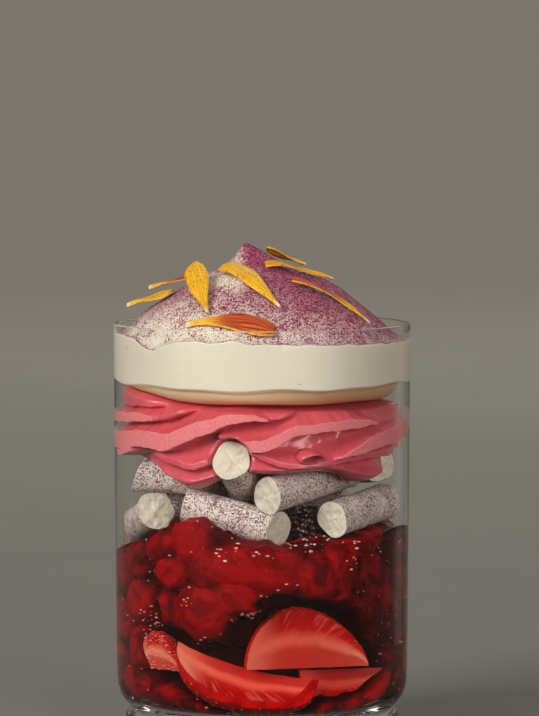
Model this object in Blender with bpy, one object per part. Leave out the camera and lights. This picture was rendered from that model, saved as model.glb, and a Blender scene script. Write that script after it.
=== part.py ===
"""Strawberry sundae in a clear, straight-sided tumbler.

From the bottom up: cut strawberries in a thick strawberry compote, dusted meringue sticks
with one bramble fruit, a ruffled pink strawberry ice cream, and a white cream that fills the
glass and rises to a peaked dome strewn with marigold petals.

Sizes are in millimetres until a mesh is made. The origin is the centre of the foot, +Z is up
and the front of the sundae faces -Y. An azimuth is measured from the front towards +X.
"""

import math
import random

import bmesh
import bpy
from mathutils import Matrix, Vector

MM = 0.001

# Glass
RIM_Z = 113.0
RIM_R = 40.0
HEEL_R = 39.3
HEEL_Z = 19.0
WALL = 1.6
FLOOR_Z = 11.4
INNER_HEEL = 7.0
FOOT_R = 37.0
FOOT_H = 8.0
PUNT_H = 5.2
GLASS_SIDES = 56

# Gap between a filling and the glass, and between two fillings
CLEAR = 0.35
SEAT_GAP = 0.3

# White cream
CREAM_COLUMNS = 52
CREAM_UNDERSIDE_Z = 93.2
CREAM_LEAVES_GLASS_Z = 97.4
CONTACT_Z = 109.8
DOME_RISE = 19.6
DOME_POWER = 1.79
DOME_R = 37.3
TIP_X = -4.5
TIP_Y = -1.0
TIP_H = 5.4

# Pink strawberry ice cream
PINK_COLUMNS = 84
PINK_UNDERSIDE_Z = 75.6
PINK_TOP_Z = 92.6
FOLD_DEPTH = 5.5

# Compote
COMPOTE_COLUMNS = 54
COMPOTE_TOP_Z = 57.5
BERRY_CELL = 6.8
BERRY_GAP_DEPTH = 2.0

# Meringue sticks
STICK_R = 4.7
STICK_SIDES = 14

# Bramble fruit
BRAMBLE_R = 5.6
BRAMBLE_AT = (12.5, -15.4, 58.8)
DRUPELET_BUMP = 0.55

# Petals
PETAL_THICKNESS = 0.45
PETAL_GAP = 0.5
PETAL_ALONG = 7
PETAL_ACROSS = 3

# Each stick: cut end that shows, far end
STICKS = {
    "left_upper": ((-32.0, -7.6, 72.7), (-15.5, -14.9, 72.1)),
    "left_lower": ((-28.0, -16.1, 63.7), (-33.0, 0.5, 58.2)),
    "front_leaning": ((-8.0, -33.4, 78.8), (-4.3, -16.5, 70.0)),
    "front_lying": ((4.4, -26.6, 59.8), (-19.9, -21.1, 65.8)),
    "right_upper": ((1.4, -32.0, 69.3), (23.2, -3.4, 73.4)),
    "right_lower": ((18.4, -26.4, 62.5), (33.0, -1.4, 64.8)),
    "middle_upper": ((-16.0, -4.0, 71.0), (5.0, -1.5, 70.5)),
    "middle_lower": ((-19.0, -6.0, 60.0), (4.6, -7.6, 60.1)),
    "inner_lower": ((-16.0, 8.0, 60.5), (2.0, 17.0, 60.5)),
    "inner_upper": ((-10.0, 10.0, 71.0), (12.0, 12.0, 71.0)),
    "back_left_lower": ((-28.0, 14.8, 60.5), (-12.0, 27.5, 61.0)),
    "back_left_upper": ((-30.0, 10.0, 71.5), (-14.0, 26.0, 72.0)),
    "back_lower": ((0.0, 31.0, 61.0), (23.0, 19.5, 60.5)),
    "back_upper": ((-4.0, 31.0, 72.0), (18.0, 24.5, 71.5)),
    "back_right_lower": ((29.0, 8.5, 60.5), (8.5, 6.5, 60.5)),
    "back_right_upper": ((31.5, 3.5, 74.0), (26.5, 16.0, 72.2)),
}

# Each piece of strawberry: length, radius, first and last angle of its skin about the core
# (from straight up, towards the back), middle of the core, yaw, pitch, sag of the core
STRAWBERRIES = {
    "front_right": (32.5, 16.2, -2.0, 84.0, (11.9, -28.2, 23.5), 14.0, 0.0, 0.0),
    "front_left": (37.5, 12.0, 163.0, 219.0, (-3.4, -26.6, 25.2), -4.0, 15.0, 2.0),
    "low_right": (24.0, 8.8, 105.0, 184.0, (20.5, -20.6, 22.2), 24.0, 2.0, 0.0),
    "crushed_left": (13.5, 10.0, -6.0, 78.0, (-26.4, -21.8, 22.3), -40.0, 0.0, 0.0),
}

BERRY_SECTIONS = 10
BERRY_ARC = 6
WINDOW_REACH = 14.0

# Ruffles that press on the glass: first azimuth, span, height at the start, rise,
# half-height of the band, reach towards the glass
RUFFLES = (
    (-112.0, 116.0, 78.8, 10.9, 2.6, 1.0),
    (-17.0, 74.0, 83.2, 5.6, 2.3, 1.0),
    (33.0, 84.0, 79.2, 9.6, 2.9, 1.0),
    (98.0, 84.0, 79.0, 9.8, 2.6, 1.0),
    (160.0, 86.0, 79.0, 9.5, 2.7, 1.0),
    (214.0, 66.0, 80.5, 8.0, 2.3, 1.0),
    (-100.0, 44.0, 87.6, 3.2, 1.3, 0.9),
    (-84.0, 78.0, 75.8, 3.0, 1.5, 0.62),
    (2.0, 88.0, 76.0, 2.4, 1.5, 0.6),
    (92.0, 88.0, 74.8, 3.6, 1.6, 0.62),
    (182.0, 84.0, 75.0, 3.4, 1.6, 0.62),
    (-62.0, 76.0, 91.0, 1.4, 1.1, 0.3),
    (14.0, 80.0, 91.0, 1.2, 1.1, 0.3),
)

# Lobes that hang from the ice cream: azimuth, width in degrees, drop
HANGING_LOBES = (
    (-30.0, 17.0, 4.6),
    (56.0, 17.0, 3.8),
    (118.0, 18.0, 3.6),
    (176.0, 17.0, 3.2),
    (236.0, 18.0, 3.4),
)

# Where the compote climbs or sinks against the glass: azimuth, width in degrees, height
COMPOTE_CRESTS = (
    (-32.0, 15.0, 6.0),
    (-94.0, 26.0, -5.4),
    (9.0, 12.0, -0.9),
    (70.0, 20.0, 2.8),
    (128.0, 16.0, 3.0),
    (172.0, 14.0, -1.2),
    (222.0, 20.0, 3.4),
)

# Each petal: base x and y, tip x and y, width, lift of base and tip off the dome, roll
PETALS = {
    "upright": ((-14.2, -28.2), (-18.7, -9.6), 5.6, 1.0, 5.4, 0.0),
    "centre": ((5.0, -27.0), (-10.8, -7.8), 6.2, 0.1, 0.9, 0.05),
    "front": ((-20.4, -27.7), (3.9, -34.8), 5.2, 0.0, 0.0, 0.0),
    "right": ((28.9, -17.4), (7.6, -16.6), 4.4, 0.0, 0.9, 0.34),
    "right_edge": ((19.4, -2.6), (0.4, -9.6), 3.8, 0.7, 0.0, 0.12),
    "right_behind": ((12.0, 3.4), (1.0, 2.0), 3.6, 0.2, 0.9, 0.2),
    "left_near": ((-36.4, -3.0), (-23.6, -6.2), 4.8, 5.2, 0.2, 0.0),
    "left_behind": ((-30.8, 5.0), (-17.4, 8.0), 4.6, 4.9, 0.2, 0.3),
    "back_left": ((-20.0, 22.0), (-6.0, 12.5), 5.6, 0.0, 0.7, 0.0),
    "back_right": ((25.0, 17.5), (9.5, 24.5), 5.2, 0.0, 0.5, 0.1),
}


def clear_scene():
    for obj in list(bpy.data.objects):
        bpy.data.objects.remove(obj, do_unlink=True)


def material(name, colour, roughness, transmission=0.0):
    made = bpy.data.materials.new(name)
    made.use_nodes = True
    shader = made.node_tree.nodes["Principled BSDF"]
    shader.inputs["Base Color"].default_value = (*colour, 1.0)
    shader.inputs["Roughness"].default_value = roughness
    shader.inputs["Metallic"].default_value = 0.0
    shader.inputs["Transmission Weight"].default_value = transmission
    return made


def add_mesh(name, points, faces, finish):
    """An object made of points in millimetres."""
    mesh = bpy.data.meshes.new(name)
    mesh.from_pydata([Vector(p) * MM for p in points], [], faces)
    mesh.update()
    if finish is not None:
        mesh.materials.append(finish)
    obj = bpy.data.objects.new(name, mesh)
    bpy.context.scene.collection.objects.link(obj)
    return obj


def smooth(obj, angle=50.0):
    obj.data.shade_smooth()
    obj.data.set_sharp_from_angle(angle=math.radians(angle))


def on_ring(radius, azimuth, z):
    """A point at an azimuth in radians, measured from the front towards +X."""
    return (radius * math.sin(azimuth), -radius * math.cos(azimuth), z)


def ring_azimuths(columns):
    return [2.0 * math.pi * k / columns for k in range(columns)]


def drum(name, rings, bottom, top, finish):
    """A closed round body: rings from the bottom's middle out, up and over, and two poles."""
    columns = len(rings[0])
    points = [bottom] + [p for ring in rings for p in ring] + [top]
    last = len(points) - 1
    faces = []
    for k in range(columns):
        after = (k + 1) % columns
        faces.append((0, 1 + after, 1 + k))
        for row in range(len(rings) - 1):
            low = 1 + row * columns
            high = low + columns
            faces.append((low + k, low + after, high + after, high + k))
        base = 1 + (len(rings) - 1) * columns
        faces.append((last, base + k, base + after))
    return add_mesh(name, points, faces, finish)


def degrees_apart(azimuth, centre_deg):
    """Signed difference in degrees from an azimuth in radians to one in degrees."""
    return (math.degrees(azimuth) - centre_deg + 180.0) % 360.0 - 180.0


def bump(azimuth, centre_deg, width_deg):
    return math.exp(-((degrees_apart(azimuth, centre_deg) / width_deg) ** 2))


def smoothstep(low, high, value):
    share = min(1.0, max(0.0, (value - low) / (high - low)))
    return share * share * (3.0 - 2.0 * share)


def carve(body, cutters):
    """Cuts the cutters out of a body in one Boolean, then removes them."""
    group = bpy.data.collections.new(body.name + "_cutters")
    bpy.context.scene.collection.children.link(group)
    for cutter in cutters:
        bpy.context.scene.collection.objects.unlink(cutter)
        group.objects.link(cutter)
    cut = body.modifiers.new("seat", "BOOLEAN")
    cut.operation = "DIFFERENCE"
    cut.operand_type = "COLLECTION"
    cut.collection = group
    cut.solver = "EXACT"
    bpy.context.view_layer.update()
    graph = bpy.context.evaluated_depsgraph_get()
    body.data = bpy.data.meshes.new_from_object(body.evaluated_get(graph))
    body.modifiers.clear()
    for cutter in list(group.objects):
        bpy.data.objects.remove(cutter, do_unlink=True)
    bpy.data.collections.remove(group)


# Glass


def outer_radius(z):
    return HEEL_R + (RIM_R - HEEL_R) * (z - HEEL_Z) / (RIM_Z - HEEL_Z)


def inner_radius(z):
    """The inside of the glass at a height, with its rounded heel."""
    heel_top = FLOOR_Z + INNER_HEEL
    straight = outer_radius(max(z, heel_top)) - WALL
    if z >= heel_top:
        return straight
    drop = min(heel_top - z, INNER_HEEL)
    return straight - INNER_HEEL + math.sqrt(INNER_HEEL**2 - drop**2)


def glass_profile():
    """(radius, height) from the middle of the underside out, up, over the rim and down."""
    underside = [(14.0, PUNT_H - 0.7), (26.0, 2.0), (31.5, 0.0), (FOOT_R - 1.2, 0.0)]
    foot = [(FOOT_R, 1.2), (FOOT_R, FOOT_H - 0.6), (FOOT_R - 2.2, FOOT_H + 1.2)]
    heel = [(35.8, 10.4), (37.9, 12.6), (38.9, 15.4), (HEEL_R, HEEL_Z)]
    rim = [
        (RIM_R, RIM_Z - 0.7),
        (RIM_R - WALL / 2.0, RIM_Z),
        (RIM_R - WALL, RIM_Z - 0.7),
    ]
    heel_top = FLOOR_Z + INNER_HEEL
    inside = []
    for turn in (0.0, 30.0, 60.0, 90.0):
        z = heel_top - INNER_HEEL * math.sin(math.radians(turn))
        inside.append((inner_radius(z), z))
    return underside + foot + heel + rim + inside


def make_glass(finish):
    azimuths = ring_azimuths(GLASS_SIDES)
    rings = [[on_ring(r, a, z) for a in azimuths] for r, z in glass_profile()]
    glass = drum("glass", rings, (0.0, 0.0, PUNT_H), (0.0, 0.0, FLOOR_Z), finish)
    smooth(glass, 40.0)


# White cream


def dome_height(x, y):
    """Height of the cream's top above the glass's foot."""
    radius = math.hypot(x, y)
    share = min(1.0, radius / DOME_R)
    side = x / max(radius, 0.001)
    edge = CONTACT_Z - 1.0 * side * share
    z = edge + DOME_RISE * (1.0 - share**DOME_POWER)
    turn = math.atan2(x, -y)
    wave = math.sin(3.0 * turn + 0.16 * radius) + 0.6 * math.sin(5.0 * turn - 0.1 * radius)
    z += 0.45 * wave * math.sin(math.pi * share)
    off_x = x - TIP_X
    off_y = y - TIP_Y
    reach_x = 3.3 if off_x < 0.0 else 6.4
    z += TIP_H * math.exp(-(math.hypot(off_x / reach_x, off_y / 4.2) ** 1.6))
    return z


def leaves_glass(azimuth):
    """Height at which the cream's underside leaves the glass."""
    return (
        CREAM_LEAVES_GLASS_Z
        + 0.5 * math.sin(azimuth) ** 2
        + 0.25 * math.sin(7.0 * azimuth + 0.8)
        + 0.2 * math.sin(12.0 * azimuth)
    )


def contact_height(azimuth):
    """Height at which the cream's top meets the glass."""
    return CONTACT_Z - 1.0 * math.sin(azimuth)


def make_cream(finish):
    azimuths = ring_azimuths(CREAM_COLUMNS)
    rings = []
    for radius, share in ((12.0, 0.0), (22.0, 0.0), (28.5, 0.14), (33.5, 0.42), (36.2, 0.75)):
        ring = []
        for a in azimuths:
            rise = leaves_glass(a) - CREAM_UNDERSIDE_Z
            ring.append(on_ring(radius, a, CREAM_UNDERSIDE_Z + share * rise))
        rings.append(ring)
    for share in (0.12, 0.5, 1.0):
        ring = []
        for a in azimuths:
            low = leaves_glass(a) + 0.6
            z = low + share * (contact_height(a) - low)
            ring.append(on_ring(inner_radius(z) - CLEAR, a, z))
        rings.append(ring)
    for radius in (35.4, 32.0, 28.5, 25.0, 21.5, 18.0, 14.5, 11.0, 8.0, 5.6, 3.6, 1.9, 0.8):
        lean = smoothstep(22.0, 5.0, radius)
        ring = []
        for a in azimuths[:: 1 if radius > 6.0 else 2]:
            x, y, _ = on_ring(radius, a, 0.0)
            x += TIP_X * lean
            y += TIP_Y * lean
            ring.append((x, y, dome_height(x, y)))
        rings.append(ring)
    top = (TIP_X, TIP_Y, dome_height(TIP_X, TIP_Y))
    fine = [ring for ring in rings if len(ring) == CREAM_COLUMNS]
    coarse = [ring for ring in rings if len(ring) < CREAM_COLUMNS]
    points = [(0.0, 0.0, CREAM_UNDERSIDE_Z)]
    starts = []
    for ring in fine + coarse:
        starts.append(len(points))
        points += ring
    points.append(top)
    faces = []
    for k in range(CREAM_COLUMNS):
        after = (k + 1) % CREAM_COLUMNS
        faces.append((0, 1 + after, 1 + k))
        for row in range(len(fine) - 1):
            low, high = starts[row], starts[row + 1]
            faces.append((low + k, low + after, high + after, high + k))
    half = CREAM_COLUMNS // 2
    join, upper = starts[len(fine) - 1], starts[len(fine)]
    for k in range(half):
        after = (k + 1) % half
        wide = (join + 2 * k, join + 2 * k + 1, join + (2 * k + 2) % CREAM_COLUMNS)
        faces.append((wide[0], wide[1], upper + k))
        faces.append((wide[1], wide[2], upper + after, upper + k))
        for row in range(len(fine), len(starts) - 1):
            low, high = starts[row], starts[row + 1]
            faces.append((low + k, low + after, high + after, high + k))
        faces.append((len(points) - 1, starts[-1] + k, starts[-1] + after))
    smooth(add_mesh("white_cream", points, faces, finish), 60.0)


# Pink ice cream


def ruffle_push(azimuth, z):
    """How far the ruffles push out at a point of the side, from 0 at a crease to 1."""
    push = 0.0
    for first, span, start_z, rise, half_height, reach in RUFFLES:
        along = (math.degrees(azimuth) - first) % 360.0 / span
        if along > 1.0:
            continue
        line = start_z + rise * smoothstep(0.0, 1.0, along)
        line += 0.9 * math.sin(2.0 * math.pi * along)
        taper = smoothstep(0.0, 0.10, along) * smoothstep(1.0, 0.90, along)
        height = half_height * (0.45 + 0.55 * taper)
        u = (z - line) / height
        if u < 0.8:
            shape = smoothstep(-1.7, -0.7, u)
        else:
            shape = max(0.0, 1.0 - (u - 0.8) / 3.0) ** 1.4
        push = max(push, reach * taper**0.5 * shape)
    return push


def pink_low(azimuth):
    """Lowest height of the ice cream near the glass."""
    z = PINK_UNDERSIDE_Z
    for centre, width, drop in HANGING_LOBES:
        z -= drop * bump(azimuth, centre, width)
    return z


def pink_side(azimuth, share):
    """Radius and height on the side, from 0 at the lowest edge to 1 at the shoulder."""
    low = pink_low(azimuth)
    z = low + share * (91.6 - low)
    depth = FOLD_DEPTH * (1.0 - ruffle_push(azimuth, z))
    depth += 4.0 * max(0.0, 1.0 - share / 0.14) ** 2
    depth += 5.0 * smoothstep(0.84, 1.0, share)
    return inner_radius(z) - CLEAR - depth, z


def make_pink(finish, sticks):
    azimuths = ring_azimuths(PINK_COLUMNS)
    rings = []
    for radius in (12.0, 24.0):
        rings.append([on_ring(radius, a, PINK_UNDERSIDE_Z) for a in azimuths])
    for row in range(15):
        ring = []
        for a in azimuths:
            radius, z = pink_side(a, row / 14.0)
            ring.append(on_ring(radius, a, z))
        rings.append(ring)
    rings.append([on_ring(20.0, a, PINK_TOP_Z) for a in azimuths])
    body = drum(
        "pink_ice_cream",
        rings,
        (0.0, 0.0, PINK_UNDERSIDE_Z),
        (0.0, 0.0, PINK_TOP_Z),
        finish,
    )
    carve(body, [fat_stick(name, 7.0) for name in sticks])
    smooth(body, 45.0)


# Meringue sticks


def prism(name, ends, radius, sides, rows, finish):
    """A round stick along a line, a little uneven, closed by a flat cut at each end."""
    start, end = Vector(ends[0]), Vector(ends[1])
    length = (end - start).length
    turn = (end - start).to_track_quat("Z", "Y").to_matrix()
    points = []
    for row in range(rows + 1):
        for k in range(sides):
            a = 2.0 * math.pi * k / sides
            here = Vector((radius * math.cos(a), radius * math.sin(a), length * row / rows))
            points.append(start + turn @ here)
    faces = [tuple(reversed(range(sides)))]
    for row in range(rows):
        for k in range(sides):
            after = (k + 1) % sides
            low = row * sides
            faces.append((low + k, low + after, low + sides + after, low + sides + k))
    faces.append(tuple(range(rows * sides, (rows + 1) * sides)))
    return add_mesh(name, points, faces, finish)


def fat_stick(name, free=0.0):
    """A stick grown by the gap, to cut its seat, with free room before its first end."""
    start, end = (Vector(p) for p in STICKS[name])
    reach = (end - start).normalized()
    ends = (start - reach * (SEAT_GAP + free), end + reach * SEAT_GAP)
    grown = (STICK_R + SEAT_GAP) / math.cos(math.pi / STICK_SIDES)
    return prism("seat_" + name, ends, grown, STICK_SIDES, 1, None)


def make_sticks(finish):
    for name, ends in STICKS.items():
        stick = prism("meringue_" + name, ends, STICK_R, STICK_SIDES, 2, finish)
        smooth(stick, 50.0)


# Strawberries


def berry_outline(share):
    """Share of the full radius along a strawberry, from the hull at 0 to the tip at 1."""
    return math.sin(math.pi * share**0.78) ** 0.6 if 0.0 < share < 1.0 else 0.0


def strawberry_points(name, grow):
    """Points of a piece cut lengthwise: both ends of its core, and between them fans."""
    length, radius, first, last, middle, yaw, pitch, sag = STRAWBERRIES[name]
    points = [Vector((-length / 2.0 - 2.0 * grow, 0.0, 0.0))]
    for k in range(1, BERRY_SECTIONS):
        share = k / BERRY_SECTIONS
        reach = radius * berry_outline(share)
        core = Vector(((share - 0.5) * length, 0.0, -4.0 * sag * share * (1.0 - share)))
        fan = [core]
        for j in range(BERRY_ARC + 1):
            a = math.radians(first + (last - first) * j / BERRY_ARC)
            fan.append(core + Vector((0.0, reach * math.sin(a), reach * math.cos(a))))
        centre = sum(fan, Vector()) / len(fan)
        points += [p + (p - centre).normalized() * grow for p in fan]
    points.append(Vector((length / 2.0 + 2.0 * grow, 0.0, 0.0)))
    turn = Matrix.Rotation(math.radians(yaw), 3, "Z")
    turn = turn @ Matrix.Rotation(math.radians(pitch), 3, "Y")
    return [turn @ p + Vector(middle) for p in points]


def make_strawberries(finish):
    for name in STRAWBERRIES:
        points = strawberry_points(name, 0.0)
        side = BERRY_ARC + 2
        faces = []
        for j in range(side):
            after = (j + 1) % side
            faces.append((0, 1 + j, 1 + after))
            for k in range(BERRY_SECTIONS - 2):
                near = 1 + k * side
                faces.append((near + j, near + side + j, near + side + after, near + after))
            base = 1 + (BERRY_SECTIONS - 2) * side
            faces.append((len(points) - 1, base + after, base + j))
        smooth(add_mesh("strawberry_" + name, points, faces, finish), 35.0)


def strawberry_window(name):
    """The room a piece needs in the compote, open towards the glass in front of it."""
    points = strawberry_points(name, SEAT_GAP + 0.25)
    middle = Vector(STRAWBERRIES[name][4])
    outward = Vector((middle.x, middle.y, 0.0)).normalized() * WINDOW_REACH
    window = add_mesh("seat_" + name, points + [p + outward for p in points], [], None)
    shape = bmesh.new()
    shape.from_mesh(window.data)
    made = bmesh.ops.convex_hull(shape, input=shape.verts)
    spare = [item for item in made["geom_interior"] if isinstance(item, bmesh.types.BMVert)]
    bmesh.ops.delete(shape, geom=spare, context="VERTS")
    bmesh.ops.recalc_face_normals(shape, faces=shape.faces)
    shape.to_mesh(window.data)
    shape.free()
    return window


# Compote


def compote_cells():
    """Middles of the soft berries that press on the glass, as azimuth and height."""
    draw = random.Random(5)
    cells = []
    for row in range(6):
        z = 13.0 + 8.6 * row
        for k in range(19):
            azimuth = 2.0 * math.pi * (k + 0.5 * (row % 2)) / 19
            cells.append((azimuth + draw.uniform(-0.09, 0.09), z + draw.uniform(-1.8, 1.8)))
    return cells


def berry_relief(azimuth, z, cells):
    """Depth behind the glass: nothing at a berry's middle, deepest between berries."""
    nearest = 99.0
    for cell_azimuth, cell_z in cells:
        apart = (azimuth - cell_azimuth + math.pi) % (2.0 * math.pi) - math.pi
        nearest = min(nearest, math.hypot(apart * RIM_R, z - cell_z))
    return BERRY_GAP_DEPTH * min(1.0, (nearest / BERRY_CELL) ** 2)


def compote_edge(azimuth):
    """Height of the compote against the glass."""
    z = COMPOTE_TOP_Z
    for centre, width, height in COMPOTE_CRESTS:
        z += height * bump(azimuth, centre, width)
    return z


def make_compote(finish, sticks):
    azimuths = ring_azimuths(COMPOTE_COLUMNS)
    cells = compote_cells()
    floor_z = FLOOR_Z + CLEAR
    rings = [[on_ring(r, a, floor_z) for a in azimuths] for r in (16.0, 29.0)]
    for z in (13.6, 16.6):
        rings.append([on_ring(inner_radius(z) - CLEAR - 0.3, a, z) for a in azimuths])
    rows = 11
    for row in range(rows + 1):
        ring = []
        for a in azimuths:
            z = 20.0 + (compote_edge(a) - 1.2 - 20.0) * row / rows
            radius = inner_radius(z) - CLEAR - berry_relief(a, z, cells)
            ring.append(on_ring(radius, a, z))
        rings.append(ring)
    for radius, share in ((34.0, 1.0), (29.0, 0.55), (22.0, 0.15), (14.0, 0.0), (7.0, 0.0)):
        ring = []
        for a in azimuths:
            lump = 1.3 * math.sin(5.0 * a + radius) * math.sin(0.31 * radius + 0.4)
            edge = compote_edge(a) + 0.3
            z = COMPOTE_TOP_Z + share * (edge - COMPOTE_TOP_Z) + lump * (1.0 - 0.6 * share)
            ring.append(on_ring(radius, a, z))
        rings.append(ring)
    top = (0.0, 0.0, COMPOTE_TOP_Z)
    body = drum("strawberry_compote", rings, (0.0, 0.0, floor_z), top, finish)
    seats = [fat_stick(name) for name in sticks]
    seats += [strawberry_window(name) for name in STRAWBERRIES]
    seats.append(bramble("seat_bramble", BRAMBLE_R + DRUPELET_BUMP + SEAT_GAP, 0.0, None))
    carve(body, seats)
    smooth(body, 45.0)


# Bramble fruit


def bramble(name, radius, relief, finish):
    """A fruit of small round drupelets, as rows of points that stand in and out by turns."""
    columns, rows = 14, 9
    rings = []
    for row in range(1, rows):
        polar = math.pi * row / rows
        ring = []
        for k in range(columns):
            a = 2.0 * math.pi * (k + 0.5 * (row % 2)) / columns
            r = radius + relief * (1.0 if (k + row) % 2 else -1.0)
            x, y, _ = on_ring(r * math.sin(polar), a, 0.0)
            z = -r * math.cos(polar) * 1.08
            ring.append((x + BRAMBLE_AT[0], y + BRAMBLE_AT[1], z + BRAMBLE_AT[2]))
        rings.append(ring)
    low = (BRAMBLE_AT[0], BRAMBLE_AT[1], BRAMBLE_AT[2] - radius * 1.06)
    high = (BRAMBLE_AT[0], BRAMBLE_AT[1], BRAMBLE_AT[2] + radius * 1.06)
    return drum(name, rings, low, high, finish)


# Petals


def petal_half_width(share, width):
    """Half the width along a petal, from the thin claw at 0 to the blunt tip at 1."""
    swell = 0.16 + 0.84 * smoothstep(0.0, 0.66, share)
    blunt = math.sqrt(max(0.0, 1.0 - max(0.0, (share - 0.78) / 0.24) ** 2))
    return 0.5 * width * swell * blunt


def petal_point(spec, along, across):
    """A point on a petal's middle sheet; across runs from -1 to 1."""
    base, tip, width, lift_base, lift_tip, roll = spec
    base, tip = Vector(base), Vector(tip)
    run = (tip - base).normalized()
    side = Vector((-run.y, run.x))
    half = petal_half_width(along, width)
    here = base + (tip - base) * along + side * (half * across)
    z = dome_height(here.x, here.y) + PETAL_GAP
    z += lift_base * (1.0 - along) ** 1.4 + lift_tip * along**1.4
    z += roll * half * (1.0 + across) + 0.25 * (1.0 - across**2)
    z += 0.18 * (1.0 + math.sin(9.0 * along + 2.0 * across))
    return Vector((here.x, here.y, z))


def make_petal(name, spec, finish):
    top, bottom = [], []
    for i in range(PETAL_ALONG + 1):
        for j in range(PETAL_ACROSS + 1):
            p = petal_point(spec, i / PETAL_ALONG, 2.0 * j / PETAL_ACROSS - 1.0)
            bottom.append(p)
            top.append(p + Vector((0.0, 0.0, PETAL_THICKNESS)))
    wide = PETAL_ACROSS + 1
    count = len(top)
    base, tip = Vector(spec[0]), Vector(spec[1])
    faces = []
    for i in range(PETAL_ALONG):
        for j in range(PETAL_ACROSS):
            a = i * wide + j
            b, c, d = a + wide, a + wide + 1, a + 1
            faces += [(a, b, c), (a, c, d)]
            faces += [(count + c, count + b, count + a), (count + d, count + c, count + a)]
    edge = [i * wide for i in range(PETAL_ALONG + 1)]
    edge += [PETAL_ALONG * wide + j for j in range(1, wide)]
    edge += [i * wide + wide - 1 for i in range(PETAL_ALONG - 1, -1, -1)]
    edge += [j for j in range(wide - 2, 0, -1)]
    for k, start in enumerate(edge):
        end = edge[(k + 1) % len(edge)]
        faces.append((start, count + start, count + end, end))
    petal = add_mesh("petal_" + name, top + bottom, faces, finish)
    smooth(petal, 60.0)


def main():
    clear_scene()
    clear_glass = material("clear_glass", (0.95, 0.97, 0.96), 0.02, 1.0)
    white = material("white_cream", (0.86, 0.80, 0.66), 0.45)
    pink = material("pink_ice_cream", (0.72, 0.17, 0.20), 0.42)
    red = material("compote_red", (0.32, 0.004, 0.008), 0.12)
    berry = material("strawberry_flesh", (0.66, 0.09, 0.05), 0.25)
    meringue = material("dusted_meringue", (0.80, 0.72, 0.68), 0.75)
    black = material("bramble_black", (0.012, 0.002, 0.006), 0.18)
    yellow = material("petal_yellow", (0.80, 0.42, 0.01), 0.5)
    low_sticks = [name for name, ends in STICKS.items() if min(p[2] for p in ends) < 66.0]
    high_sticks = [name for name in STICKS if name not in low_sticks]
    make_glass(clear_glass)
    make_compote(red, low_sticks)
    make_strawberries(berry)
    make_sticks(meringue)
    smooth(bramble("bramble", BRAMBLE_R, DRUPELET_BUMP, black), 80.0)
    make_pink(pink, high_sticks)
    make_cream(white)
    for name, spec in PETALS.items():
        make_petal(name, spec, yellow)


main()
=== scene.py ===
"""The strawberry sundae, dressed: clear tumbler, compote with syrup and cut strawberries,
dusted meringue sticks, ruffled pink ice cream, white cream with berry powder, and petals.

Lengths are in millimetres until a mesh is made. The front faces -Y, and an azimuth is
measured from the front towards +X.
"""

import math
import random

import bpy
import numpy as np
from mathutils import Matrix, Vector, noise


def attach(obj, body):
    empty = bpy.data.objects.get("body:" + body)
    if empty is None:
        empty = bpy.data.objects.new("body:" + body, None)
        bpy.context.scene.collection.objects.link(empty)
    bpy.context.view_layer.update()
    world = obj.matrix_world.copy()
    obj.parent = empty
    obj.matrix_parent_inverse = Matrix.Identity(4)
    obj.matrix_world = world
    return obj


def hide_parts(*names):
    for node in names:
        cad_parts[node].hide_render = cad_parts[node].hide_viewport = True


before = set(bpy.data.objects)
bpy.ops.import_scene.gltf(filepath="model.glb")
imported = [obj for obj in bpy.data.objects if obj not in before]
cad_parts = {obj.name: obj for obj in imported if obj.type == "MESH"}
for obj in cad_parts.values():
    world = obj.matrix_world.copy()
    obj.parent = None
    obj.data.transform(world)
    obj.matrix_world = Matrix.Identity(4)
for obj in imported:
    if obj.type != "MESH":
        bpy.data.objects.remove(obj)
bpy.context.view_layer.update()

MM = 0.001

# Camera, from the ellipses of the rim and the heel in the photograph
IMAGE_SIZE = (539, 716)
FOCAL_PX = 4200.0
SENSOR_MM = 36.0
CAMERA_AT = (0.002, -1.1277, 0.1811)
CAMERA_DOWN_DEG = 3.942

# Glass
RIM_Z, RIM_R, HEEL_R, HEEL_Z = 113.0, 40.0, 39.3, 19.0
WALL, FLOOR_Z, INNER_HEEL = 1.6, 11.4, 7.0
FOOT_R, FOOT_H, PUNT_H = 37.0, 8.0, 5.2
HEEL_TOP_Z = FLOOR_Z + INNER_HEEL
# Fillings reach this far into the wall, so that no air shows between them and the glass
INTO_WALL = 0.06
# Places on the side of a filling are measured along a circle of this radius
SIDE_R = 38.0

# White cream
CREAM_UNDERSIDE_Z, CREAM_LEAVES_GLASS_Z = 93.2, 97.4
CONTACT_Z, DOME_RISE, DOME_POWER, DOME_R = 109.8, 19.6, 1.79, 37.3
TIP_X, TIP_Y, TIP_H = -4.5, -1.0, 5.4

# Pink ice cream
PINK_UNDERSIDE_Z, PINK_TOP_Z, FOLD_DEPTH = 75.6, 92.6, 5.6

# Compote: its plain top, and how far the syrup stands below the heap's edge
COMPOTE_TOP_Z = 57.5
SYRUP_DIP = 0.8

# Meringue sticks and bramble fruit
STICK_R = 4.7
BRAMBLE_AT, BRAMBLE_R = (12.5, -15.4, 58.8), 5.6

# Petals lie this far above the cream
PETAL_GAP = 0.5

# Strewn copies on a square metre, more than any spacing here leaves room for
MOST_STREWN = 4.0e6

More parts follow.
